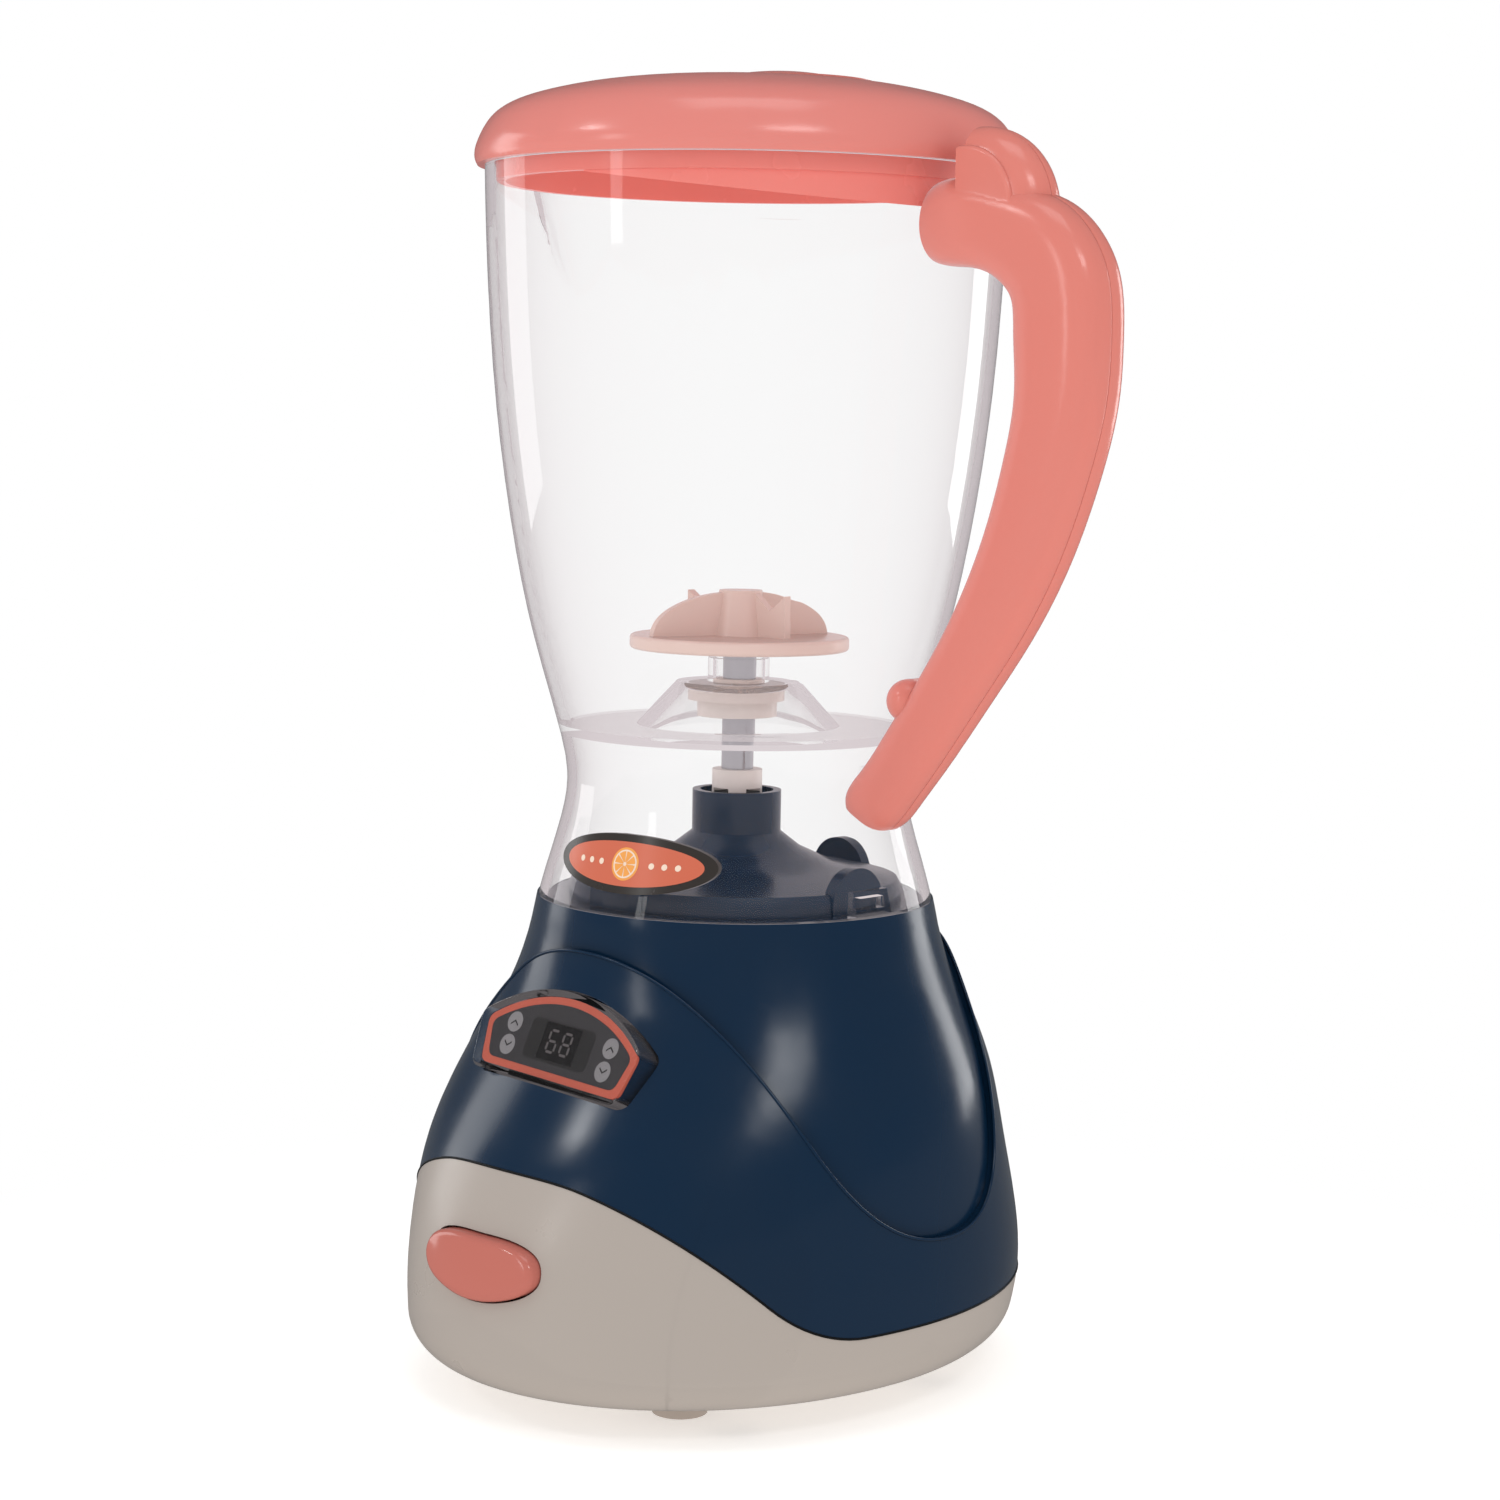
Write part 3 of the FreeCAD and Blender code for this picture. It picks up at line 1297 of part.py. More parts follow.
def notched_fin(angle):
    """A short upright fin with a V notch in its top edge."""
    low = d.disc_top - 0.2
    high = d.disc_top + d.hub_height
    inner = d.hub_top_radius - 0.5
    middle = (d.hub_top_radius + d.short_fin_reach) / 2
    corners = [
        Vector(0, 0, low),
        Vector(d.short_fin_reach, 0, low),
        Vector(d.short_fin_reach, 0, high - 0.6),
        Vector(middle, 0, high - d.notch_depth),
        Vector(inner, 0, high),
        Vector(0, 0, high),
    ]
    fin = prism(Part.makePolygon(corners + corners[:1]), Vector(0, d.fin_thickness, 0))
    fin.translate(Vector(0, -d.fin_thickness / 2, 0))
    fin.rotate(Vector(), AXIS_Z, angle)
    return fin


def blade_rotor():
    disc = Part.makeCylinder(d.disc_radius, d.disc_thickness, Vector(0, 0, d.disc_z))
    rims = [e for e in disc.Edges if abs(e.BoundBox.ZLength) < 1e-6]
    disc = disc.makeFillet(0.7, rims)
    hub = Part.makeCone(d.hub_radius, d.hub_top_radius, d.hub_height, Vector(0, 0, d.disc_top))
    collar = Part.makeCylinder(d.hub_radius, 1.0, Vector(0, 0, d.disc_z - 1.0))
    rotor = disc.fuse([hub, collar, long_fin(251), long_fin(71), notched_fin(0), notched_fin(180)])
    bore = Part.makeCylinder(
        d.shaft_radius, d.disc_top + d.hub_height / 2 - d.disc_z + 1, Vector(0, 0, d.disc_z - 1)
    )
    return rotor.cut(bore)


keep(shaped("blade_rotor", blade_rotor()), "blade_rotor")

# ---------------------------------------------------------------------------------------------
# Jug
# ---------------------------------------------------------------------------------------------
JUG_LEVELS = [
    (d.skirt_radius, d.deck_top),
    (d.skirt_mid_radius, d.skirt_mid_z),
    (d.waist_radius, d.waist_z),
    (d.bowl_low_radius, d.bowl_low_z),
    (d.bowl_mid_radius, d.bowl_mid_z),
    (d.body_low_radius, d.body_low_z),
    (d.body_mid_radius, d.body_mid_z),
    (d.body_high_radius, d.body_high_z),
    (d.jug_top_radius, d.jug_top),
]


def jug_form(inset):
    """The jug's outer form, drawn in by an inset, as a solid of revolution."""
    side = spline([Vector(r - inset, 0, z) for r, z in JUG_LEVELS])
    low = Vector(0, 0, d.deck_top)
    high = Vector(0, 0, d.jug_top)
    edges = [
        Part.LineSegment(low, Vector(d.skirt_radius - inset, 0, d.deck_top)).toShape(),
        side,
        Part.LineSegment(Vector(d.jug_top_radius - inset, 0, d.jug_top), high).toShape(),
        Part.LineSegment(high, low).toShape(),
    ]
    return Part.Face(Part.Wire(edges)).revolve(Vector(), AXIS_Z, 360)


def spout_form(inset):
    """A leaning cone that swells out of the wall towards the rim."""
    high = Part.Circle(Vector(-d.spout_offset, 0, d.jug_top), AXIS_Z, d.spout_radius - inset)
    low_x = -(d.body_high_radius - d.jug_wall - d.spout_low_radius)
    low = Part.Circle(Vector(low_x, 0, d.spout_low_z), AXIS_Z, d.spout_low_radius - inset)
    wires = [Part.Wire([low.toShape()]), Part.Wire([high.toShape()])]
    return Part.makeLoft(wires, True, True)


def level_slab(low, high):
    return Part.makeBox(2 * REACH, 2 * REACH, high - low, Vector(-REACH, -REACH, low))


def upper_tongue():
    """The jug's tab that the handle's root closes over."""
    corner = Vector(d.jug_top_radius - 2, -d.tongue_thickness / 2, d.upper_tongue_z)
    return Part.makeBox(14, d.tongue_thickness, 8.0, corner)


def lower_tongue():
    """The jug's tab inside the handle's lower tip."""
    corner = Vector(d.waist_radius - 1, -d.tongue_thickness / 2, d.lower_tongue_z)
    return Part.makeBox(8.5, d.tongue_thickness, 5.5, corner)


outer_jug = jug_form(0)
inner_jug = jug_form(d.jug_wall)


def wall_radius(z):
    """The jug's outer radius at a level."""
    curve = spline([Vector(r, 0, level) for r, level in JUG_LEVELS]).Curve
    low, high = curve.FirstParameter, curve.LastParameter
    for i in range(40):
        middle = (low + high) / 2
        if curve.value(middle).z < z:
            low = middle
        else:
            high = middle
    return curve.value(low).x


def flute(angle):
    """A round column whose outer side hollows the wall a little."""
    low_z = d.floor_top + 0.9
    levels = [low_z + (d.flute_high_z - low_z) * i / 5 for i in range(6)]
    sections = []
    for z in levels:
        section = oval(d.flute_radius, d.flute_radius, 0, z)
        section.translate(Vector(wall_radius(z) - d.jug_wall + d.flute_depth - d.flute_radius, 0, 0))
        sections.append(section)
    column = Part.makeLoft(sections, True, False)
    column.rotate(Vector(), AXIS_Z, angle)
    return column


def jug_body():
    jug = outer_jug.fuse(spout_form(0))
    jug = jug.cut(inner_jug.common(level_slab(d.floor_top, d.jug_top + 1)))
    for i in range(4):
        jug = jug.cut(flute(d.flute_turn + 90 * i))
    jug = jug.cut(spout_form(d.jug_wall).common(level_slab(d.floor_top, d.jug_top + 1)))
    jug = jug.cut(inner_jug.common(level_slab(d.deck_top - 1, d.floor_top - d.jug_floor)))
    rise = d.tower_rise
    tower = Part.makeCone(d.tower_base_radius, d.tower_top_radius, rise, Vector(0, 0, d.floor_top - 0.01))
    tube = level_rod(d.tube_radius, 0, 0, d.tower_top_z - 0.5, d.tube_top_z)
    jug = jug.fuse([tower, tube, upper_tongue().cut(inner_jug), lower_tongue().cut(inner_jug)])
    hollow = Part.makeCone(
        d.tower_base_radius - d.jug_floor,
        d.tower_top_radius - d.jug_floor,
        rise,
        Vector(0, 0, d.floor_top - d.jug_floor),
    )
    jug = jug.cut(hollow)
    jug = jug.cut(Part.makeCylinder(d.shaft_bush_radius, 20, Vector(0, 0, d.tower_under - 1)))
    skirt_inner = d.skirt_radius - d.jug_wall
    for angle in (0, 180):
        pocket = Part.makeBox(
            d.catch_depth + 1,
            d.catch_width,
            d.catch_height,
            Vector(skirt_inner - d.catch_depth, -d.catch_width / 2, d.deck_top),
        )
        slot = Part.makeBox(
            d.catch_depth,
            d.catch_width - 3,
            d.catch_height - 2.4,
            Vector(skirt_inner - d.catch_depth - 0.5, -(d.catch_width - 3) / 2, d.deck_top + 1.2),
        )
        pocket = pocket.common(outer_jug).cut(slot)
        pocket.rotate(Vector(), AXIS_Z, angle)
        jug = jug.fuse(pocket)
    return jug


keep(shaped("jug_body", jug_body()), "jug_body")

keep(
    turned(
        "shaft_bush",
        [
            ("shaft_radius + running_gap", "tower_under - bush_flange_height"),
            ("bush_flange_radius", "tower_under - bush_flange_height"),
            ("bush_flange_radius", "tower_under"),
            ("shaft_bush_radius", "tower_under"),
            ("shaft_bush_radius", "tower_top_z + 0.5"),
            ("shaft_radius + running_gap", "tower_top_z + 0.5"),
        ],
    ),
    "shaft_bush",
)
keep(
    turned(
        "bush_lock_ring",
        [
            ("shaft_radius + 0.3", "tower_under - bush_flange_height - bush_nut_height"),
            ("bush_nut_radius", "tower_under - bush_flange_height - bush_nut_height"),
            ("bush_nut_radius", "tower_under - bush_flange_height"),
            ("shaft_radius + 0.3", "tower_under - bush_flange_height"),
        ],
    ),
    "bush_lock_ring",
)


def jug_badge():
    """An oval plate that follows the skirt."""
    turn = math.radians(d.badge_turn)
    outward = Vector(math.cos(turn), math.sin(turn), 0)
    middle = Vector(0, 0, d.badge_z)
    ellipse = Part.Ellipse(Vector(), d.badge_half_width, d.badge_half_height).toShape()
    plate = prism(Part.Wire([ellipse]), Vector(0, 0, REACH / 2))
    to_front = Rotation(Vector(-math.sin(turn), math.cos(turn), 0), AXIS_Z, outward, "ZXY")
    plate.Placement = Placement(middle, to_front)
    return plate.common(jug_form(-d.badge_thickness)).cut(outer_jug)


keep(shaped("jug_badge", jug_badge()), "jug_badge")

# ---------------------------------------------------------------------------------------------
# Handle: two half shells and their screws
# ---------------------------------------------------------------------------------------------
# Sections along the grip: x, z, direction of travel in degrees below +X, half depth, half width
GRIP = [
    (45.0, 212.4, 0, 5.4, 4.4),
    (48.6, 212.5, 0, 7.2, 6.4),
    (54.5, 212.4, 3, 7.6, 7.0),
    (62.0, 211.1, 14, 7.7, 7.1),
    (70.0, 207.8, 37, 8.8, 7.0),
    (74.9, 201.6, 66, 9.3, 6.9),
    (76.0, 193.0, 86, 9.3, 6.8),
    (75.9, 182.3, 95, 8.7, 6.8),
    (73.4, 171.0, 103, 8.1, 6.8),
    (68.7, 157.7, 114, 7.4, 6.7),
    (61.7, 144.1, 120, 6.5, 6.6),
    (53.0, 131.4, 126, 5.8, 6.3),
    (44.2, 119.8, 128, 5.7, 5.8),
    (38.4, 112.7, 126, 5.6, 5.6),
    (35.4, 109.2, 121, 5.5, 5.4),
    (34.2, 107.4, 118, 4.7, 4.6),
]


def grip_section(x, z, fall, depth, width):
    """A wire across the grip's path, an oval with flattened sides."""
    points = []
    power = 2.2 if x < d.hump_x - 2.5 and z > d.hump_centre_z - 10 else 3
    for i in range(24):
        across, beside = math.cos(math.pi * i / 12), math.sin(math.pi * i / 12)
        reach = (abs(across / depth) ** power + abs(beside / width) ** power) ** (-1 / power)
        points.append(Vector(reach * across, reach * beside, 0))
    curve = Part.BSplineCurve()
    curve.interpolate(points, PeriodicFlag=True)
    section = Part.Wire([curve.toShape()])
    section.Placement = Placement(Vector(x, 0, z), Rotation(AXIS_Y, 90 + fall))
    return section


def thumb_disc(centre_z, radius, half_width, edge, front):
    """Part of a disc that rises behind the lid and curves down to the grip, its rim rounded."""
    disc = Part.makeCylinder(radius, 2 * half_width, Vector(d.hump_x, -half_width, centre_z), AXIS_Y)
    disc = disc.makeFillet(edge, [e for e in disc.Edges if e.BoundBox.YLength < 1e-6])
    keep_box = Part.makeBox(REACH, REACH, 2 * REACH, Vector(d.hump_x - front, -REACH / 2, centre_z - 2))
    return disc.common(keep_box)


def handle_form():
    grip = Part.makeLoft([grip_section(*row) for row in GRIP], True, False)
    hollow_rows = [
        (x, z, fall, depth - d.handle_wall, width - d.handle_wall) for x, z, fall, depth, width in GRIP[5:12]
    ]
    hollow = Part.makeLoft([grip_section(*row) for row in hollow_rows], True, False)
    knob_start = Vector(d.knob_x, -d.knob_half_width, d.knob_z)
    knob = Part.makeCylinder(d.knob_radius, 2 * d.knob_half_width, knob_start, AXIS_Y)
    for y in (-d.knob_half_width, d.knob_half_width):
        knob = knob.fuse(Part.makeSphere(d.knob_radius, Vector(d.knob_x, y, d.knob_z)))
    form = grip.fuse(
        [
            knob,
            thumb_disc(d.hump_centre_z, d.hump_radius, d.hump_half_width, d.hump_half_width - 0.3, 0.4),
            thumb_disc(d.cheek_centre_z, d.cheek_radius, d.cheek_half_width, 0.7, d.hump_front),
        ]
    )
    form = form.cut(hollow).cut(outer_jug)
    form = form.cut(upper_tongue()).cut(lower_tongue())
    for x, z in HANDLE_SCREWS:
        side = d.cheek_half_width + 1
        form = form.fuse(rod(3.2, Vector(x, -6.0, z), Vector(x, 6.0, z)))
        form = form.cut(rod(d.handle_screw_radius, Vector(x, -4.0, z), Vector(x, side, z)))
        form = form.cut(rod(d.handle_head_radius + 0.15, Vector(x, 4.6, z), Vector(x, side + 4, z)))
    return form


HANDLE_SCREWS = [(66.0, 207.5), (75.7, 183.0), (59.4, 140.4)]
handle = handle_form()
half_space = Part.makeBox(2 * REACH, REACH, 2 * REACH, Vector(-REACH, -REACH, 0))
keep(shaped("handle_front_half", handle.common(half_space)), "handle_front_half")
keep(shaped("handle_rear_half", handle.cut(half_space)), "handle_rear_half")


def handle_screw(x, z):
    head = rod(d.handle_head_radius, Vector(x, 4.6, z), Vector(x, 4.6 + d.handle_head_height, z))
    shank = rod(d.handle_screw_radius, Vector(x, -4.0, z), Vector(x, 4.6, z))
    return head.fuse(shank)


keep(
    shaped("handle_screws", Part.makeCompound([handle_screw(x, z) for x, z in HANDLE_SCREWS])),
    "handle_screws",
)

# ---------------------------------------------------------------------------------------------
# Lid: dome, ring with strainer, and the centre cap
# ---------------------------------------------------------------------------------------------


def dome_form(inset, low):
    """The dome's outer form, drawn in by an inset, down to a level."""
    rise = [
        (d.lid_rim_radius, 0),
        (d.lid_radius, d.lid_belly),
        (d.lid_radius - 0.75, 0.56 * d.lid_shoulder_rise),
        (d.lid_shoulder_radius, d.lid_shoulder_rise),
        (d.lid_slope_radius, d.lid_slope_rise),
        (d.lid_slope_radius / 2, (d.lid_slope_rise + 3 * d.lid_crown_rise) / 4),
    ]
    points = [Vector(r - inset, 0, low + max(0, h - inset)) for r, h in rise]
    points[0] = Vector(d.lid_rim_radius - inset, 0, low)
    crown = Vector(0, 0, low + d.lid_crown_rise - inset)
    curve = Part.BSplineCurve()
    curve.interpolate(points + [crown])
    centre = Vector(0, 0, low)
    edges = [
        Part.LineSegment(centre, points[0]).toShape(),
        curve.toShape(),
        Part.LineSegment(crown, centre).toShape(),
    ]
    return Part.Face(Part.Wire(edges)).revolve(Vector(), AXIS_Z, 360)


def lid_dome():
    dome = dome_form(0, d.jug_top)
    inner = [
        Vector(0, 0, d.jug_top),
        Vector(d.lid_rim_radius - d.lid_wall, 0, d.jug_top),
        Vector(d.lid_radius - d.lid_wall - 0.8, 0, d.jug_top + 0.5 * d.lid_shoulder_rise),
        Vector(d.lid_shoulder_radius - d.lid_wall, 0, d.jug_top + d.lid_shoulder_rise - d.lid_wall),
        Vector(d.lid_slope_radius - 1, 0, d.jug_top + d.lid_slope_rise - d.lid_wall),
        Vector(0.5 * d.lid_slope_radius, 0, d.cap_seat_z - d.lid_wall),
        Vector(0, 0, d.cap_seat_z - d.lid_wall),
    ]
    hollow = Part.Face(Part.makePolygon(inner + inner[:1])).revolve(Vector(), AXIS_Z, 360)
    dome = dome.cut(hollow)
    dome = dome.cut(level_rod(d.cap_radius + 0.3, d.cap_offset, 0, d.cap_seat_z, d.cap_seat_z + 10))
    return dome.cut(level_rod(d.cap_hole, d.cap_offset, 0, d.cap_seat_z - 10, d.cap_seat_z + 10))


keep(shaped("lid_dome", lid_dome()), "lid_dome")


def tube(outer, inner, low, high):
    ring = Part.makeCylinder(outer, high - low, Vector(0, 0, low))
    return ring.cut(Part.makeCylinder(inner, high - low, Vector(0, 0, low)))


def lid_strainer():
    """The ring inside the rim, with the strainer wall on the handle's side."""
    top = d.jug_top + 4.0
    ring = tube(d.plug_radius, d.plug_radius - d.plug_wall, d.jug_top - d.plug_depth, top)
    wall_outer = d.plug_radius - d.strainer_inset
    low = d.jug_top - d.strainer_depth
    wall = Part.makeCylinder(
        wall_outer, d.strainer_depth, Vector(0, 0, low), AXIS_Z, 2 * d.strainer_half_angle
    )
    wall = wall.cut(Part.makeCylinder(wall_outer - d.plug_wall + 0.4, d.strainer_depth, Vector(0, 0, low)))
    wall.rotate(Vector(), AXIS_Z, -d.strainer_half_angle)
    start = wall_outer * math.cos(math.radians(d.strainer_half_angle))
    edge = [
        Vector(0, -REACH, d.jug_top - d.strainer_start),
        Vector(start, -REACH, d.jug_top - d.strainer_start),
        Vector(wall_outer + 1, -REACH, low),
        Vector(wall_outer + 1, -REACH, low - 5),
        Vector(0, -REACH, low - 5),
    ]
    below = Part.Face(Part.makePolygon(edge + edge[:1])).extrude(Vector(0, 2 * REACH, 0))
    return ring.fuse(wall.cut(below))


keep(shaped("lid_strainer", lid_strainer()), "lid_strainer")


def lid_cap():
    outline = [
        Vector(0, 0, d.cap_seat_z + d.cap_crown),
        Vector(0.55 * d.cap_radius, 0, d.cap_seat_z + 0.88 * d.cap_crown),
        Vector(0.88 * d.cap_radius, 0, d.cap_seat_z + 0.6 * d.cap_crown),
        Vector(d.cap_radius, 0, d.cap_seat_z + d.cap_edge),
    ]
    top = spline(outline)
    corners = [
        outline[-1],
        Vector(d.cap_radius, 0, d.cap_seat_z),
        Vector(d.cap_plug_radius, 0, d.cap_seat_z),
        Vector(d.cap_plug_radius, 0, d.cap_seat_z - d.cap_plug_depth),
        Vector(d.cap_plug_radius - d.cap_wall, 0, d.cap_seat_z - d.cap_plug_depth),
        Vector(d.cap_plug_radius - d.cap_wall, 0, d.cap_seat_z),
        Vector(0, 0, d.cap_seat_z + 0.3),
        outline[0],
    ]
    edges = [top] + [Part.LineSegment(a, b).toShape() for a, b in zip(corners, corners[1:])]
    cap = Part.Face(Part.Wire(edges)).revolve(Vector(), AXIS_Z, 360)
    return cap.translated(Vector(d.cap_offset, 0, 0))


keep(shaped("lid_cap", lid_cap()), "lid_cap")

# ---------------------------------------------------------------------------------------------
# Display pieces
# ---------------------------------------------------------------------------------------------


def lens_solid():
    lens = lens_slab(0, -d.lens_depth, 0)
    face_edges = [e for e in lens.Edges if abs(e.BoundBox.ZMin) < 1e-6 and abs(e.BoundBox.ZMax) < 1e-6]
    lens = lens.makeFillet(0.5, face_edges)
    flange = lens_slab(d.lens_flange, -d.flange_under_z, -d.lens_depth)
    lens = lens.fuse(flange)
    hollow = lens_slab(-d.lens_wall, -d.flange_under_z - 1, -d.lens_wall)
    return lens.cut(hollow)


def in_display(shape):
    shape.Placement = display_place
    return shape


keep(shaped("display_lens", in_display(lens_solid())), "display_lens")
card_front = -d.lens_wall - 0.15
keep(
    shaped(
        "display_card",
        in_display(lens_slab(-d.lens_wall - 0.1, card_front - d.label_thickness, card_front)),
    ),
    "display_card",
)
board_front = -d.flange_under_z
board = Part.makeBox(
    2 * d.board_half_width,
    2 * d.board_half_height,
    d.board_thickness,
    Vector(-d.board_half_width, -d.board_half_height - 1.0, board_front - d.board_thickness),
)
keep(shaped("circuit_board", in_display(board)), "circuit_board")
lamp = Part.makeCylinder(d.lamp_radius, d.lamp_height, Vector(0, -1.0, board_front))
lamp_top = [e for e in lamp.Edges if abs(e.BoundBox.ZMin - board_front - d.lamp_height) < 1e-6]
keep(shaped("display_lamp", in_display(lamp.makeFillet(1.3, lamp_top))), "display_lamp")

# ---------------------------------------------------------------------------------------------
# Start button, spring, plunger, switch and bracket
# ---------------------------------------------------------------------------------------------


def start_button():
    proud = bell(-d.button_proud, d.hem_radius)
    cap = button_slab(0, -REACH, d.button_flange_y).common(proud)
    front_edges = [e for e in cap.Edges if e.BoundBox.YMax < d.button_flange_y - 1]
    cap = cap.makeFillet(d.button_edge, front_edges)
    flange_back = d.button_flange_y + d.button_flange_thickness
    flange = button_slab(d.button_flange, d.button_flange_y, flange_back)
    stem = rod(d.stem_radius, Vector(0, flange_back, d.button_z), Vector(0, d.stem_end_y, d.button_z))
    return cap.fuse([flange, stem])


keep(shaped("start_button", start_button()), "start_button")


def button_spring():
    flange_back = d.button_flange_y + d.button_flange_thickness
    room = d.bracket_y - flange_back
    pitch = (room - 2 * d.button_spring_wire) / d.button_spring_turns
    spring = coil(d.button_spring_radius, d.button_spring_wire, pitch, d.button_spring_turns)
    spring.translate(Vector(0, 0, d.button_spring_wire))
    spring.Placement = Placement(
        Vector(0, d.bracket_y, d.button_z), Rotation(AXIS_X, 90)
    ).multiply(spring.Placement)
    return spring


keep(shaped("button_spring", button_spring()), "button_spring")
upright = block(
    "bracket_upright",
    "2 * bracket_half_width",
    "bracket_thickness",
    "bracket_top_z - floor_top_z",
    x="-bracket_half_width",
    y="bracket_y",
    z="floor_top_z",
)
bracket_foot = block(
    "bracket_foot",
    "2 * bracket_half_width",
    "switch_y + switch_depth - bracket_y",
    "1.8",
    x="-bracket_half_width",
    y="bracket_y",
    z="floor_top_z + 3",
)
cheeks = [
    block(
        f"bracket_cheek_{'left' if side < 0 else 'right'}",
        "1.6",
        "switch_y + switch_depth - bracket_y",
        "button_z + switch_half_height - floor_top_z - 3",
        x="-switch_half_width - 1.6" if side < 0 else "switch_half_width",
        y="bracket_y",
        z="floor_top_z + 3",
    )
    for side in (-1, 1)
]
shelf = block(
    "bracket_shelf",
    "2 * switch_half_width",
    "switch_y + switch_depth - bracket_y",
    "1.6",
    x="-switch_half_width",
    y="bracket_y",
    z="button_z - switch_half_height - 1.6",
)
bracket_solid = fused("bracket_solid", [upright, bracket_foot, shelf] + cheeks)
stem_hole = cylinder(
    "bracket_stem_hole",
    "stem_radius + 0.15",
    "bracket_thickness + 2",
    y="bracket_y - 1",
    z="button_z",
    turn=(AXIS_X, -90),
)
bracket_holes = [stem_hole]
for side in (-1, 1):
    bracket_holes.append(
        cylinder(
            f"bracket_screw_hole_{side + 1}",
            "small_screw_radius",
            "4",
            x=f"{side} * (bracket_half_width - 1.5)",
            y="switch_y + switch_depth / 2",
            z="floor_top_z + 2",
        )
    )
    bracket_holes.append(
        cylinder(
            f"bracket_screw_room_{side + 1}",
            "small_head_radius + 0.2",
            "14",
            x=f"{side} * (bracket_half_width - 1.5)",
            y="switch_y + switch_depth / 2",
            z="floor_top_z + 4.8",
        )
    )
keep(cut("switch_bracket_cut", bracket_solid, bracket_holes), "switch_bracket")
screw_set(
    "bracket_screws",
    "small_head_radius",
    "small_head_height",
    "small_screw_radius",
    "4.6",
    [
        ("-bracket_half_width + 1.5", "switch_y + switch_depth / 2", "floor_top_z + 4.8"),
        ("bracket_half_width - 1.5", "switch_y + switch_depth / 2", "floor_top_z + 4.8"),
    ],
    down=True,
)
switch_body = block(
    "switch_body",
    "2 * switch_half_width",
    "switch_depth",
    "2 * switch_half_height",
    x="-switch_half_width",
    y="switch_y",
    z="button_z - switch_half_height",
)
plunger_hole = cylinder(
    "plunger_hole",
    "plunger_radius + running_gap",
    "button_travel + 3",
    y="switch_y - 1",
    z="button_z",
    turn=(AXIS_X, -90),
)
keep(cut("start_switch_cut", switch_body, [plunger_hole]), "start_switch")
keep(
    cylinder(
        "switch_plunger",
        "plunger_radius",
        "switch_y - stem_end_y + 1.4",
        y="stem_end_y",
        z="button_z",
        turn=(AXIS_X, -90),
    ),
    "switch_plunger",
)

# ---------------------------------------------------------------------------------------------
# Recompute, test every object, and write the sub-parts
# ---------------------------------------------------------------------------------------------
doc.recompute()
faults = [o.Name for o in doc.Objects if "Invalid" in o.State or "Error" in o.State]
for piece in nodes:
    if piece.Shape.isNull() or not piece.Shape.isValid() or not piece.Shape.Solids:
        faults.append(piece.Label)
if faults:
    raise RuntimeError("faulty objects: " + ", ".join(sorted(set(faults))))

os.makedirs("parts", exist_ok=True)
for piece in nodes:
    piece.Shape.exportStep(f"parts/{piece.Label}.step")
    box = piece.Shape.BoundBox
    spans = ((box.XMin, box.XMax), (box.YMin, box.YMax), (box.ZMin, box.ZMax))
    reach = "  ".join(f"{low:7.2f} {high:7.2f}" for low, high in spans)
    print(f"{piece.Label:22s} {len(piece.Shape.Solids)} {piece.Shape.Volume:10.1f}  {reach}")
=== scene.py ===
"""Toy blender: greige and navy base, clear jug, coral handle and lid.

Metres, +Z up. -Y is the front with the button and the display, +X the handle, -X the pouring spout.
"""
import math

import bmesh
import bpy
from mathutils import Matrix, Vector
from mathutils.bvhtree import BVHTree


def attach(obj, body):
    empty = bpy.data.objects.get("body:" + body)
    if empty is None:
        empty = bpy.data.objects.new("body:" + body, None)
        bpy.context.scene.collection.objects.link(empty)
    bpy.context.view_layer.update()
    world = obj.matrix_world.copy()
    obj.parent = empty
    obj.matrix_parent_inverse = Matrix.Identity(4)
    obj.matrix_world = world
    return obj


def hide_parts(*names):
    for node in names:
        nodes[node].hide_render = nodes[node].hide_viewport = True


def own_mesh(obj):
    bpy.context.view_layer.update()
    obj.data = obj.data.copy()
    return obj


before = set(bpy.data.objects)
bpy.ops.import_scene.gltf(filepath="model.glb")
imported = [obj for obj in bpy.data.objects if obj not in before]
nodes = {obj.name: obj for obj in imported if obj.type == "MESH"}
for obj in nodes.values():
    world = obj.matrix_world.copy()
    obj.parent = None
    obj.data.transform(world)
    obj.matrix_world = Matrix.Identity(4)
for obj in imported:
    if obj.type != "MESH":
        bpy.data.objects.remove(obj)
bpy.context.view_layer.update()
MM = 0.001

# ---------------------------------------------------------------------------------------------
# Studio: a sweep of white paper under the toy, with soft boxes round it and one overhead. The
# camera stands off the corner between the front and the handle, and looks a little down.
# ---------------------------------------------------------------------------------------------


def linear(hex_colour):
    """sRGB hex to the linear red, green, blue and alpha that shaders take."""
    parts = [int(hex_colour[i:i + 2], 16) / 255 for i in (1, 3, 5)]
    curve = [c / 12.92 if c <= 0.04045 else ((c + 0.055) / 1.055) ** 2.4 for c in parts]
    return (*curve, 1.0)


def add_node(tree, kind, settings=None, links=None):
    """Adds a shader node; settings are sockets or properties, links lead other nodes' outputs in."""
    node = tree.nodes.new(kind)
    for key, value in (settings or {}).items():
        if isinstance(key, int) or key in node.inputs:
            node.inputs[key].default_value = value
        else:
            setattr(node, key, value)
    for key, output in (links or {}).items():
        tree.links.new(output, node.inputs[key])
    return node


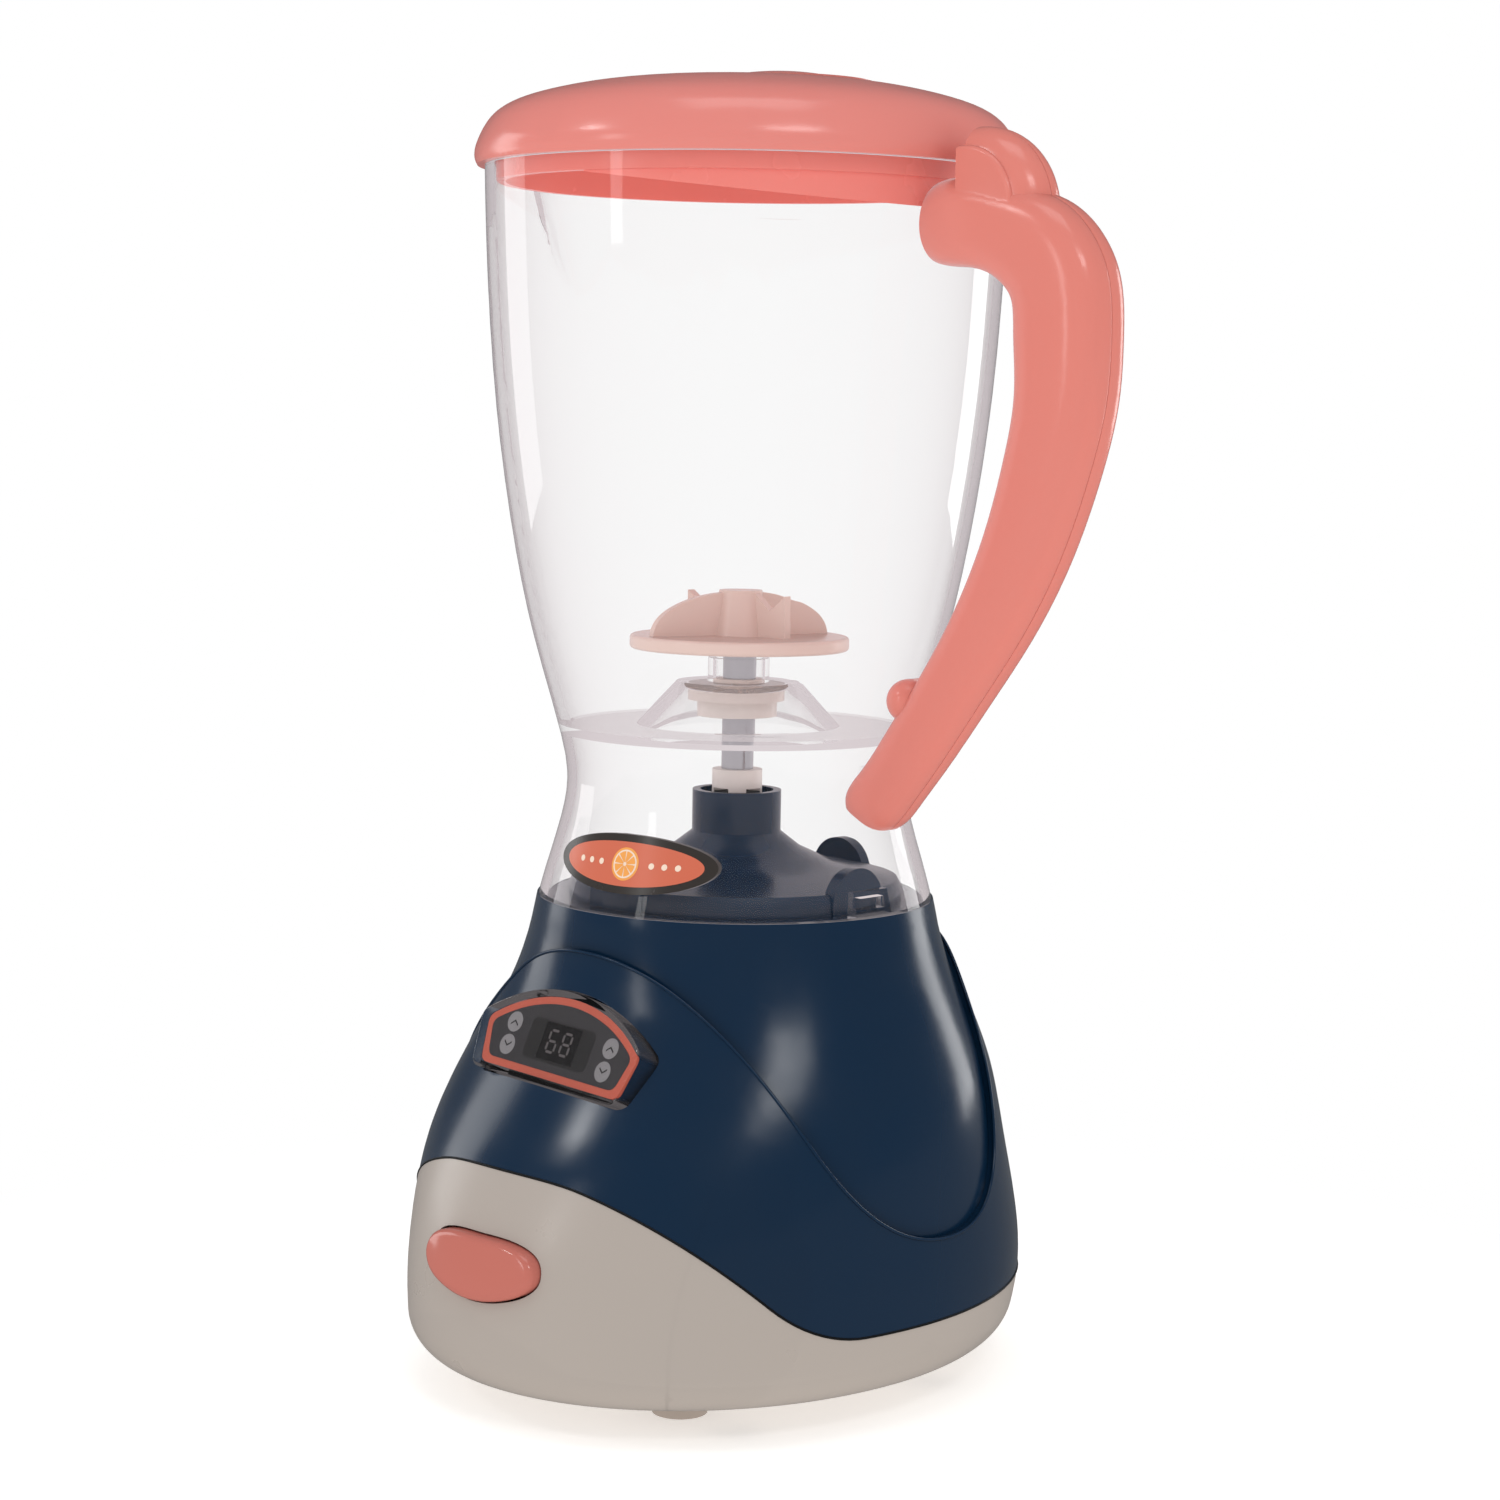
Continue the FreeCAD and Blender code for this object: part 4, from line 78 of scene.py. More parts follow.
def by_ray(tree, straight, diffuse, mirrored):
    """What a ray meets: seen straight, as light on matt surfaces, or mirrored in glossy ones."""
    rays = add_node(tree, "ShaderNodeLightPath")
    mix = add_node(
        tree,
        "ShaderNodeMixShader",
        links={0: rays.outputs["Diffuse Depth"], 1: straight, 2: diffuse},
    )
    return add_node(
        tree,
        "ShaderNodeMixShader",
        links={0: rays.outputs["Glossy Depth"], 1: mix.outputs[0], 2: mirrored},
    )


world = bpy.data.worlds.new("studio")
bpy.context.scene.world = world
world.use_nodes = True
sky = world.node_tree
sky.nodes.clear()
# the room is white to the eye and bright on matt surfaces; its dark walls leave glossy plastics deep
room = [
    add_node(sky, "ShaderNodeBackground", {"Color": linear(colour), "Strength": strength}).outputs[0]
    for colour, strength in (("#ffffff", 1.0), ("#f6f7f8", 0.83), ("#dfe3e8", 0.15))
]
add_node(sky, "ShaderNodeOutputWorld", links={"Surface": by_ray(sky, *room).outputs[0]})

# the sweep is bright white paper: near the toy it takes the shadow, further off it burns out
SHADOW_NEAR, SHADOW_FAR = 0.07, 0.2
FLOOR_HALF = 6.0
paper = bpy.data.materials.new("white sweep paper")
paper.use_nodes = True
tree = paper.node_tree
tree.nodes.clear()
matt = add_node(tree, "ShaderNodeBsdfDiffuse", {"Color": linear("#f2f1ef")})
glow = add_node(tree, "ShaderNodeEmission", {"Color": linear("#ffffff"), "Strength": 0.36})
lit = add_node(tree, "ShaderNodeAddShader", links={0: matt.outputs[0], 1: glow.outputs[0]})
burnt, bounce, dim = [
    add_node(tree, "ShaderNodeEmission", {"Color": linear(colour), "Strength": strength})
    for colour, strength in (("#ffffff", 1.0), ("#fbf9f6", 1.4), ("#e9ebee", 0.2))
]
spot = add_node(tree, "ShaderNodeNewGeometry")
apart = add_node(tree, "ShaderNodeVectorMath", {"operation": "LENGTH"}, {0: spot.outputs["Position"]})
fade = add_node(
    tree,
    "ShaderNodeMapRange",
    {"interpolation_type": "SMOOTHSTEP", "From Min": SHADOW_NEAR, "From Max": SHADOW_FAR},
    {"Value": apart.outputs["Value"]},
)
sheet = add_node(
    tree,
    "ShaderNodeMixShader",
    links={0: fade.outputs[0], 1: lit.outputs[0], 2: burnt.outputs[0]},
)
seen = by_ray(tree, sheet.outputs[0], bounce.outputs[0], dim.outputs[0])
add_node(tree, "ShaderNodeOutputMaterial", links={"Surface": seen.outputs[0]})
floor_mesh = bpy.data.meshes.new("floor")
bm = bmesh.new()
bmesh.ops.create_grid(bm, x_segments=1, y_segments=1, size=FLOOR_HALF)
bm.to_mesh(floor_mesh)
bm.free()
floor = bpy.data.objects.new("floor", floor_mesh)
bpy.context.scene.collection.objects.link(floor)
floor_mesh.materials.append(paper)

VIEW_AZIMUTH = math.radians(44.0)
VIEW_FALL = math.radians(6.15)
VIEW_ROLL = math.radians(0.99)
VIEW_DISTANCE = 591.9 * MM
# what the camera looks at, in millimetres beside the jug's axis and over the floor
AIM_BESIDE, AIM_HEIGHT = 2.33, 116.35
SENSOR_WIDTH = 36
FOCAL_PIXELS, FRAME_PIXELS = 3158, 1500
right = Vector((math.cos(VIEW_AZIMUTH), math.sin(VIEW_AZIMUTH), 0))
back = Vector((
    math.sin(VIEW_AZIMUTH) * math.cos(VIEW_FALL),
    -math.cos(VIEW_AZIMUTH) * math.cos(VIEW_FALL),
    math.sin(VIEW_FALL),
))
aim = right * AIM_BESIDE * MM + Vector((0, 0, AIM_HEIGHT * MM))
up = back.cross(right)
camera_right = right * math.cos(VIEW_ROLL) + up * math.sin(VIEW_ROLL)
camera_up = up * math.cos(VIEW_ROLL) - right * math.sin(VIEW_ROLL)
camera_data = bpy.data.cameras.new("camera")
camera_data.sensor_width = SENSOR_WIDTH
camera_data.lens = SENSOR_WIDTH * FOCAL_PIXELS / FRAME_PIXELS
camera_data.clip_start = 10 * MM
camera = bpy.data.objects.new("camera", camera_data)
bpy.context.scene.collection.objects.link(camera)
turn = Matrix((camera_right, camera_up, back)).transposed().to_4x4()
camera.matrix_world = Matrix.Translation(aim + back * VIEW_DISTANCE) @ turn
bpy.context.scene.camera = camera
bpy.context.scene.view_settings.view_transform = "Standard"

LAMP_AIM = Vector((0, 0, 0.1))


def soft_box(name, azimuth, height, distance, size, power):
    """A rectangular lamp that faces the toy from a direction round it."""
    lamp = bpy.data.lights.new(name, "AREA")
    lamp.shape = "RECTANGLE"
    lamp.size, lamp.size_y = size
    lamp.energy = power
    holder = bpy.data.objects.new(name, lamp)
    bpy.context.scene.collection.objects.link(holder)
    angle = math.radians(azimuth)
    place = Vector((math.sin(angle) * distance, -math.cos(angle) * distance, height))
    facing = (LAMP_AIM - place).to_track_quat("-Z", "Y").to_matrix().to_4x4()
    holder.matrix_world = Matrix.Translation(place) @ facing


# degrees round from the front, height, distance, width and height of the box, and watts
for box in (
    ("key box", 65, 0.85, 0.85, (0.36, 0.2), 1.3),
    ("fill box", -29, 0.84, 0.95, (0.16, 0.12), 0.7),
    ("strip box", -12, 0.34, 0.9, (0.09, 0.32), 0.35),
    ("left box", -75, 0.2, 0.9, (0.3, 0.7), 1.2),
    ("right box", 170, 0.12, 0.95, (0.26, 0.7), 1.7),
    ("top box", 44, 1.35, 0.25, (0.7, 0.5), 1.7),
):
    soft_box(*box)

# ---------------------------------------------------------------------------------------------
# Base shells: ABS mouldings from polished tools, which close along an S-shaped seam. The tray
# and its battery door are greige, the bell and the jug's seat on its deck are navy. A trace of
# orange peel softens their reflections.
# ---------------------------------------------------------------------------------------------

# patterns in waves per metre: tone patches of 45 mm, smears of 11 mm, orange peel of 1.5 mm
TONE_PATCHES, SMEARS, PEEL_HILLS = 22.0, 90.0, 650.0


def moulded(name, colour, roughness, peel=0.012, sink=0.0, painted_glow=0.0):
    """Injection-moulded plastic: even colour, faint tone drift, smears and an orange-peel bump.

    peel is the peel's depth in millimetres, sink the share of light that spreads under the
    surface; a last, optional strength paints a glow in the base colour, for light through a thin wall.
    """
    material = bpy.data.materials.new(name)
    material.use_nodes = True
    tree = material.node_tree
    tree.nodes.clear()
    place = add_node(tree, "ShaderNodeTexCoord").outputs["Object"]
    drift = add_node(tree, "ShaderNodeTexNoise", {"Scale": TONE_PATCHES, "Detail": 1.0}, {"Vector": place})
    shade = add_node(
        tree, "ShaderNodeMapRange", {"To Min": 0.985, "To Max": 1.015}, {"Value": drift.outputs["Fac"]}
    )
    tint = add_node(tree, "ShaderNodeHueSaturation", {"Color": linear(colour)}, {"Value": shade.outputs[0]})
    haze = add_node(tree, "ShaderNodeTexNoise", {"Scale": SMEARS, "Detail": 4.0}, {"Vector": place})
    gloss = add_node(
        tree,
        "ShaderNodeMapRange",
        {"From Min": 0.3, "From Max": 0.8, "To Min": roughness * 0.9, "To Max": roughness * 1.2},
        {"Value": haze.outputs["Fac"]},
    )
    hills = add_node(tree, "ShaderNodeTexNoise", {"Scale": PEEL_HILLS, "Detail": 1.0}, {"Vector": place})
    bump = add_node(
        tree, "ShaderNodeBump", {"Strength": 0.2, "Distance": peel * MM}, {"Height": hills.outputs["Fac"]}
    )
    # the emission paints a glow in the base colour: painted light that stands in for light through a thin
    # wall
    surface = add_node(
        tree,
        "ShaderNodeBsdfPrincipled",
        {
            "IOR": 1.53, "Subsurface Weight": sink,
            "Emission Color": linear(colour), "Emission Strength": painted_glow,
        },
        {"Base Color": tint.outputs[0], "Roughness": gloss.outputs[0], "Normal": bump.outputs[0]},
    )
    if sink:
        # red light spreads furthest, about 2.5 mm
        surface.inputs["Subsurface Radius"].default_value = (1.0, 0.45, 0.35)
        surface.inputs["Subsurface Scale"].default_value = 2.5 * MM
    add_node(tree, "ShaderNodeOutputMaterial", links={"Surface": surface.outputs[0]})
    return material


def settle(bm, name, body, material, instead_of=(), crease=32):
    """Turns a bmesh into a smooth-shaded piece that rides on a body and stands for CAD nodes.

    Edges that turn by more than crease degrees stay sharp.
    """
    for face in bm.faces:
        face.smooth = True
    for edge in bm.edges:
        sharp = edge.is_manifold and edge.calc_face_angle(0) > math.radians(crease)
        edge.smooth = not sharp
    mesh = bpy.data.meshes.new(name)
    bm.to_mesh(mesh)
    bm.free()
    mesh.materials.append(material)
    piece = bpy.data.objects.new(name, mesh)
    bpy.context.scene.collection.objects.link(piece)
    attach(piece, body)
    if instead_of:
        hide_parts(*instead_of)
    return piece


# corners nearer than WELD are one, and edges shorter than SPECK vanish
WELD, SPECK = 1e-6, 1e-7
FLAT = math.radians(0.2)
CORNER = math.radians(50)


def joined_copy(node, name, body, material, crease=32, soften=0.0, only=None):
    """A CAD node with its triangles joined, so that curved faces shade smoothly.

    soften rounds the corners that the test named only picks, by so many millimetres.
    """
    bm = bmesh.new()
    bm.from_mesh(nodes[node].data)
    bmesh.ops.remove_doubles(bm, verts=bm.verts, dist=WELD)
    bmesh.ops.dissolve_degenerate(bm, edges=bm.edges, dist=SPECK)
    if soften:
        bmesh.ops.dissolve_limit(bm, angle_limit=FLAT, verts=bm.verts, edges=bm.edges)
        corners = [
            e for e in bm.edges if e.is_manifold and e.calc_face_angle(0) > CORNER and only(e)
        ]
        bmesh.ops.bevel(
            bm, geom=corners, offset=soften * MM, segments=2, profile=0.5, affect="EDGES", material=-1,
            clamp_overlap=False,
        )
        bmesh.ops.dissolve_degenerate(bm, edges=bm.edges, dist=SPECK)
    return settle(bm, name, body, material, [node], crease)


navy_abs = moulded("navy ABS", "#0b2740", 0.2)
greige_abs = moulded("greige ABS", "#aea49c", 0.3)
joined_copy("base_upper_shell", "navy_bell", "base", navy_abs)
joined_copy("base_lower_shell", "greige_tray", "base", greige_abs)
joined_copy("jug_seat", "navy_seat", "base", navy_abs)
joined_copy("battery_door", "battery_hatch", "base", greige_abs)

RIM_ANGLE = math.radians(45)


def rim_of(node, chosen):
    """The closed chain of a node's sharp outer edges that passes a test, as points in order."""
    bm = bmesh.new()
    bm.from_mesh(nodes[node].data)
    bmesh.ops.remove_doubles(bm, verts=bm.verts, dist=WELD)
    sharp = [e for e in bm.edges if e.is_manifold and e.is_convex and e.calc_face_angle(0) > RIM_ANGLE]
    while sharp:
        first, at = sharp.pop(0).verts
        path = [first.co.copy()]
        while at is not None and at != first:
            path.append(at.co.copy())
            step = next((e for e in at.link_edges if e in sharp), None)
            if step:
                sharp.remove(step)
            at = step.other_vert(at) if step else None
        if at == first and chosen(path):
            bm.free()
            return path
    raise ValueError("no such rim on " + node)


def reach(path, axis):
    """The furthest that a path goes along an axis."""
    return max(point[axis] for point in path)


def bead(name, path, radius, material):
    """A fine round bead along a closed path, from a bevelled curve made a mesh."""
    curve = bpy.data.curves.new(name, "CURVE")
    curve.dimensions = "3D"
    curve.bevel_depth = radius * MM
    curve.bevel_resolution = 2
    line = curve.splines.new("POLY")
    line.points.add(len(path) - 1)
    for knot, point in zip(line.points, path):
        knot.co = (*point, 1)
    line.use_cyclic_u = True
    holder = bpy.data.objects.new(name, curve)
    mesh = bpy.data.meshes.new_from_object(holder)
    bm = bmesh.new()
    bm.from_mesh(mesh)
    bpy.data.objects.remove(holder)
    bmesh.ops.remove_doubles(bm, verts=bm.verts, dist=SPECK)
    bmesh.ops.recalc_face_normals(bm, faces=bm.faces)
    return settle(bm, name, "base", material, crease=60)


# the wave's crest is rounded and catches the light: it is the rim that goes round the handle's
# side and over 80 mm
CREST_RADIUS, SEAM_RADIUS = 0.32, 0.22
crest = rim_of("base_upper_shell", lambda path: reach(path, 0) > 53 * MM and reach(path, 2) > 80 * MM)
bead("wave_crest", crest, CREST_RADIUS, navy_abs)
# a near-black bead laid in the seam of the shells is painted shade, for the shadow in the gap between them:
# the rim that goes round the back, all under 50 mm
painted_seam_shade = moulded("shadowed seam", "#07090d", 0.6)
seam = rim_of("base_upper_shell", lambda path: reach(path, 1) > 58 * MM and reach(path, 2) < 50 * MM)
bead("shell_seam", seam, SEAM_RADIUS, painted_seam_shade)

# ---------------------------------------------------------------------------------------------
# Feet: four moulded pads of grey rubber, pressed into the floor of the tray. They are matt and
# catch no highlight.
# ---------------------------------------------------------------------------------------------
foot_rubber = moulded("grey rubber", "#a99c92", 0.75, peel=0.05)
for foot in ("foot_front_left", "foot_front_right", "foot_rear_left", "foot_rear_right"):
    joined_copy(foot, foot.replace("foot", "rubber_pad"), "base", foot_rubber)

# ---------------------------------------------------------------------------------------------
# Metal parts: zinc-plated screws, contacts and springs, a drawn motor can, ground shafts, and
# bushes of sintered bronze. All are bare, with fine marks from drawing and grinding.
# ---------------------------------------------------------------------------------------------

# marks of about 1 mm, in waves per metre
DRAWING_MARKS = 900.0


def metal(name, colour, roughness):
    """Plain metal with fine drawing marks in its roughness."""
    material = bpy.data.materials.new(name)
    material.use_nodes = True
    tree = material.node_tree
    tree.nodes.clear()
    place = add_node(tree, "ShaderNodeTexCoord").outputs["Object"]
    marks = add_node(tree, "ShaderNodeTexNoise", {"Scale": DRAWING_MARKS, "Detail": 4.0}, {"Vector": place})
    polish = add_node(
        tree,
        "ShaderNodeMapRange",
        {"To Min": roughness * 0.7, "To Max": roughness * 1.4},
        {"Value": marks.outputs["Fac"]},
    )
    surface = add_node(
        tree,
        "ShaderNodeBsdfPrincipled",
        {"Base Color": linear(colour), "Metallic": 1.0},
        {"Roughness": polish.outputs[0]},
    )
    add_node(tree, "ShaderNodeOutputMaterial", links={"Surface": surface.outputs[0]})
    return material


zinc = metal("zinc-plated steel", "#b9bcc0", 0.32)
ground_steel = metal("ground steel", "#c9cbce", 0.2)
bronze = metal("sintered bronze", "#a8814a", 0.45)
for node in (
    "battery_door_screw", "case_screws", "gearbox_screws", "motor_screws", "seat_screws", "bracket_screws",
    "battery_contacts", "battery_springs", "motor_terminals",
):
    joined_copy(node, "plated_" + node, "base", zinc)
# the coil behind the button is 4.6 mm long and the button's stroke of 2.5 mm shortens it
coil = joined_copy("button_spring", "plated_button_spring", "base", zinc)
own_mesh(coil)
joined_copy("motor_can", "drawn_motor_can", "base", zinc)
joined_copy("motor_shaft", "ground_motor_shaft", "pinion", ground_steel)
joined_copy("drive_spindle", "ground_spindle", "drive", ground_steel)
for node in ("spindle_lower_bush", "spindle_upper_bush"):
    joined_copy(node, "sintered_" + node, "base", bronze)

# ---------------------------------------------------------------------------------------------
# Gearbox and switch: gears, plates and the motor's end cap moulded in natural nylon, and black
# mouldings for the switch, the circuit board and the driving half of the coupling.
# ---------------------------------------------------------------------------------------------
nylon = moulded("natural nylon", "#dcd8cd", 0.45)
black_moulding = moulded("black moulding", "#161617", 0.4)
joined_copy("reduction_gear", "nylon_gear", "drive", nylon, crease=20)
joined_copy("motor_pinion", "nylon_pinion", "pinion", nylon, crease=20)
for node in ("gearbox_plate", "switch_bracket", "motor_end_cap"):
    joined_copy(node, "nylon_" + node, "base", nylon)
for node in ("start_switch", "circuit_board"):
    joined_copy(node, "black_" + node, "base", black_moulding)
joined_copy("switch_plunger", "black_plunger", "button", black_moulding)
joined_copy("drive_coupler", "black_coupler", "drive", black_moulding)

# ---------------------------------------------------------------------------------------------
# Cells: two steel cans, each in a shrink sleeve of dark, plain film. They lie in the bay over
# the battery door, between the contacts and the springs.
# ---------------------------------------------------------------------------------------------
sleeve = moulded("printed shrink sleeve", "#26282c", 0.25)
for node in ("cell_front", "cell_rear"):
    joined_copy(node, "sleeved_" + node, "base", sleeve)

# ---------------------------------------------------------------------------------------------
# Start button: a thick bean of coral ABS, a little browner than the lid, with a rounded rim. It
# slides in the wall of the tray and pushes the switch's plunger.
# ---------------------------------------------------------------------------------------------
button_abs = moulded("brick coral ABS", "#c17064", 0.12)
joined_copy("start_button", "coral_start_button", "button", button_abs)

# ---------------------------------------------------------------------------------------------
# Display: a printed card in a pocket of the bell, under a clear polystyrene cap that stands out
# of it. The print is flat ink: a border, a face, a window with two figures and four round keys.
# ---------------------------------------------------------------------------------------------

# a thin wall bends light very little, and its mirror image never takes more than MIRROR_MOST
WALL_IOR, MIRROR_IOR, MIRROR_MOST = 1.1, 1.4, 0.16
# flow lines 11 mm apart, drawn out along the wall's height, and 0.03 mm deep
FLOW_LINES, FLOW_DRAWN, FLOW_DEPTH = 90.0, 0.12, 0.03


def clear_plastic(name, colour, edge, inner, worn):
    """Clear polystyrene: a thin wall that bends light very little, mirrors outside and is faintly hazy.

    colour is its tint face on and edge its tint at grazing angles, inner the strength of a painted
    pale glow for light trapped in the wall, and worn the share of light that fine scratches scatter.
    """
    material = bpy.data.materials.new(name)
    material.use_nodes = True
    tree = material.node_tree
    tree.nodes.clear()
    place = add_node(tree, "ShaderNodeTexCoord").outputs["Object"]
    stretch = add_node(tree, "ShaderNodeMapping", {"Scale": (1.0, 1.0, FLOW_DRAWN)}, {"Vector": place})
    flow = add_node(
        tree, "ShaderNodeTexNoise", {"Scale": FLOW_LINES, "Detail": 2.0}, {"Vector": stretch.outputs[0]}
    )
    bump = add_node(
        tree,
        "ShaderNodeBump",
        {"Strength": 0.3, "Distance": FLOW_DEPTH * MM},
        {"Height": flow.outputs["Fac"]},
    )
    facing = add_node(tree, "ShaderNodeLayerWeight", {"Blend": 0.25})
    tint = add_node(
        tree,
        "ShaderNodeMix",
        {"data_type": "RGBA", 6: linear(colour), 7: linear(edge)},
        {0: facing.outputs["Facing"]},
    )
    body = add_node(
        tree,
        "ShaderNodeBsdfPrincipled",
        {"Roughness": 0.0, "IOR": WALL_IOR, "Specular IOR Level": 0.0, "Transmission Weight": 1.0},
        {"Base Color": tint.outputs[2]},
    )
    # only the outer face of a wall mirrors the room
    mirror = add_node(tree, "ShaderNodeBsdfGlossy", {"Roughness": 0.04}, {"Normal": bump.outputs[0]})
    fresnel = add_node(tree, "ShaderNodeFresnel", {"IOR": MIRROR_IOR}, {"Normal": bump.outputs[0]})
    sides = add_node(tree, "ShaderNodeNewGeometry")
    outer = add_node(
        tree, "ShaderNodeMath", {"operation": "SUBTRACT", 0: 1.0}, {1: sides.outputs["Backfacing"]}
    )
    weak = add_node(tree, "ShaderNodeMath", {"operation": "MINIMUM", 1: MIRROR_MOST}, {0: fresnel.outputs[0]})
    share = add_node(
        tree, "ShaderNodeMath", {"operation": "MULTIPLY"}, {0: outer.outputs[0], 1: weak.outputs[0]}
    )
    mix = add_node(
        tree,
        "ShaderNodeMixShader",
        links={0: share.outputs[0], 1: body.outputs[0], 2: mirror.outputs[0]},
    )
    # wiping scratches too fine to see scatter a little of the light
    haze = add_node(tree, "ShaderNodeBsdfDiffuse", {"Color": linear("#ffffff")})
    mix = add_node(tree, "ShaderNodeMixShader", {0: worn}, {1: mix.outputs[0], 2: haze.outputs[0]})
    # painted glow: where a ray mirrored inside the wall meets a back face, a pale emission stands in for
    # light trapped in the wall
    rays = add_node(tree, "ShaderNodeLightPath")
    painted_glow_mask = add_node(
        tree,
        "ShaderNodeMath",
        {"operation": "MULTIPLY", "use_clamp": True},
        {0: rays.outputs["Glossy Depth"], 1: sides.outputs["Backfacing"]},
    )
    pale = add_node(tree, "ShaderNodeEmission", {"Color": linear("#f3e9ec"), "Strength": inner})
    mix = add_node(
        tree,
        "ShaderNodeMixShader",
        links={0: painted_glow_mask.outputs[0], 1: mix.outputs[0], 2: pale.outputs[0]},
    )
    # lamps and matt neighbours shine straight through
    open_way = add_node(tree, "ShaderNodeBsdfTransparent", {"Color": linear("#fbfafa")})
    lamp_ray = add_node(
        tree,
        "ShaderNodeMath",
        {"operation": "MAXIMUM"},
        {0: rays.outputs["Is Shadow Ray"], 1: rays.outputs["Is Diffuse Ray"]},
    )
    mix = add_node(
        tree,
        "ShaderNodeMixShader",
        links={0: lamp_ray.outputs[0], 1: mix.outputs[0], 2: open_way.outputs[0]},
    )
    add_node(tree, "ShaderNodeOutputMaterial", links={"Surface": mix.outputs[0]})
    return material


# the fourth number is the strength of the painted pale glow inside the cap's walls
clear_cap = clear_plastic("clear polystyrene", "#fbfbfb", "#e4e2e2", 0.12, worn=0.002)
joined_copy("display_lens", "clear_display_cap", "base", clear_cap)
CARD_TILT = math.radians(66)
CARD_ROLL = math.radians(-2.5)
CARD_PLACE = Vector((0, -45.4, 67.0))


def on_card(x, y, z):
    """A point of the leaning card, in millimetres from the middle of the cap's front."""
    up_card = Vector((0, math.cos(CARD_TILT), math.sin(CARD_TILT)))
    out_card = Vector((0, -math.sin(CARD_TILT), math.cos(CARD_TILT)))
    across = x * math.cos(CARD_ROLL) - y * math.sin(CARD_ROLL)
    along = x * math.sin(CARD_ROLL) + y * math.cos(CARD_ROLL)
    return (CARD_PLACE + Vector((across, 0, 0)) + up_card * along + out_card * z) * MM


ARCH_HALF = 14
CORNER_STEPS = 5
CORNER_REACH = 1.5


def arched(shrink):
    """The card's outline: straight foot and sides, round corners and an arched top."""
    half_foot, half_top = 19.4 - shrink, 21.2 - shrink
    foot, corner, top = -8.3 + shrink, 1.9 - shrink / 2, 9.3 - shrink
    rise = top - corner
    radius = (half_top ** 2 + rise ** 2) / (2 * rise)
    sweep = math.asin(half_top / radius)
    turns = [sweep * (1 - i / ARCH_HALF) for i in range(2 * ARCH_HALF + 1)]
    arch = [(radius * math.sin(a), top - radius + radius * math.cos(a)) for a in turns]
    path = [(-half_foot, foot), (half_foot, foot)] + arch
    rounded = []
    for i, point in enumerate(path):
        before, after = Vector(path[i - 1]), Vector(path[(i + 1) % len(path)])
        here = Vector(point)
        bend = (here - before).angle(after - here)
        if bend < math.radians(20):
            rounded.append(point)
            continue
        reached = min(CORNER_REACH, (after - here).length * 0.9, (here - before).length * 0.9)
        start = here + (before - here).normalized() * reached
        end = here + (after - here).normalized() * reached
        for k in range(CORNER_STEPS + 1):
            t = k / CORNER_STEPS
            rounded.append(tuple(start * (1 - t) ** 2 + here * 2 * t * (1 - t) + end * t ** 2))
    return rounded


def rounded_box(x, y, half_x, half_y, radius):
    """The outline of a box with round corners, about its middle."""
    points = []
    for side_x, side_y, first in ((1, 1, 0), (-1, 1, 90), (-1, -1, 180), (1, -1, 270)):
        for k in range(CORNER_STEPS + 1):
            angle = math.radians(first + 90 // CORNER_STEPS * k)
            points.append((x + side_x * (half_x - radius) + radius * math.cos(angle),
                           y + side_y * (half_y - radius) + radius * math.sin(angle)))
    return points


def disc(x, y, radius):
    """The outline of a disc, about its middle."""
    angles = [math.tau * i / 32 for i in range(32)]
    return [(x + radius * math.cos(a), y + radius * math.sin(a)) for a in angles]


def printed(name, outlines, low, high, material, instead_of=()):
    """Flat coloured shapes on the card, each a thin slab between two depths."""
    bm = bmesh.new()
    for outline in outlines:
        ring = [bm.verts.new(on_card(x, y, low)) for x, y in outline]
        sheet = bm.faces.new(ring)
        grown = bmesh.ops.extrude_face_region(bm, geom=[sheet])
        lifted = [v for v in grown["geom"] if isinstance(v, bmesh.types.BMVert)]
        bmesh.ops.translate(bm, verts=lifted, vec=on_card(0, 0, high) - on_card(0, 0, low))
    bmesh.ops.recalc_face_normals(bm, faces=bm.faces)
    return settle(bm, name, "base", material, instead_of)


# seven bars of a figure: which ends they join, in columns and rows from its middle
BARS = {"a": (0, 2), "b": (1, 1), "c": (1, 0), "d": (0, 0), "e": (-1, 0), "f": (-1, 1), "g": (0, 1)}
BAR_COLUMN, BAR_ROW, FIGURE_HEIGHT = 1.05, 2.0, -0.2
BAR_LEVEL, BAR_UPRIGHT, BAR_WIDE, BAR_ROUND = 0.85, 0.72, 0.24, 0.2


def figure(x, lit):
    """The lit bars of one figure of the display, as outlines."""
    shapes = []
    for bar in lit:
        column, row = BARS[bar]
        if bar in "adg":
            middle = FIGURE_HEIGHT + (row - 1) * BAR_ROW
            shapes.append(rounded_box(x, middle, BAR_LEVEL, BAR_WIDE, BAR_ROUND))
        else:
            middle = FIGURE_HEIGHT + (row - 0.5) * BAR_ROW
            shapes.append(rounded_box(x + column * BAR_COLUMN, middle, BAR_WIDE, BAR_UPRIGHT, BAR_ROUND))
    return shapes


def chevron(x, y, way):
    """The outline of a key's arrow, which points up for 1 and down for -1."""
    arm, drop, stroke = 0.95, 0.75 * way, 0.34 * way
    return [(x - arm, y - drop / 2), (x, y + drop / 2), (x + arm, y - drop / 2),
            (x + arm, y - drop / 2 - stroke), (x, y + drop / 2 - stroke), (x - arm, y - drop / 2 - stroke)]


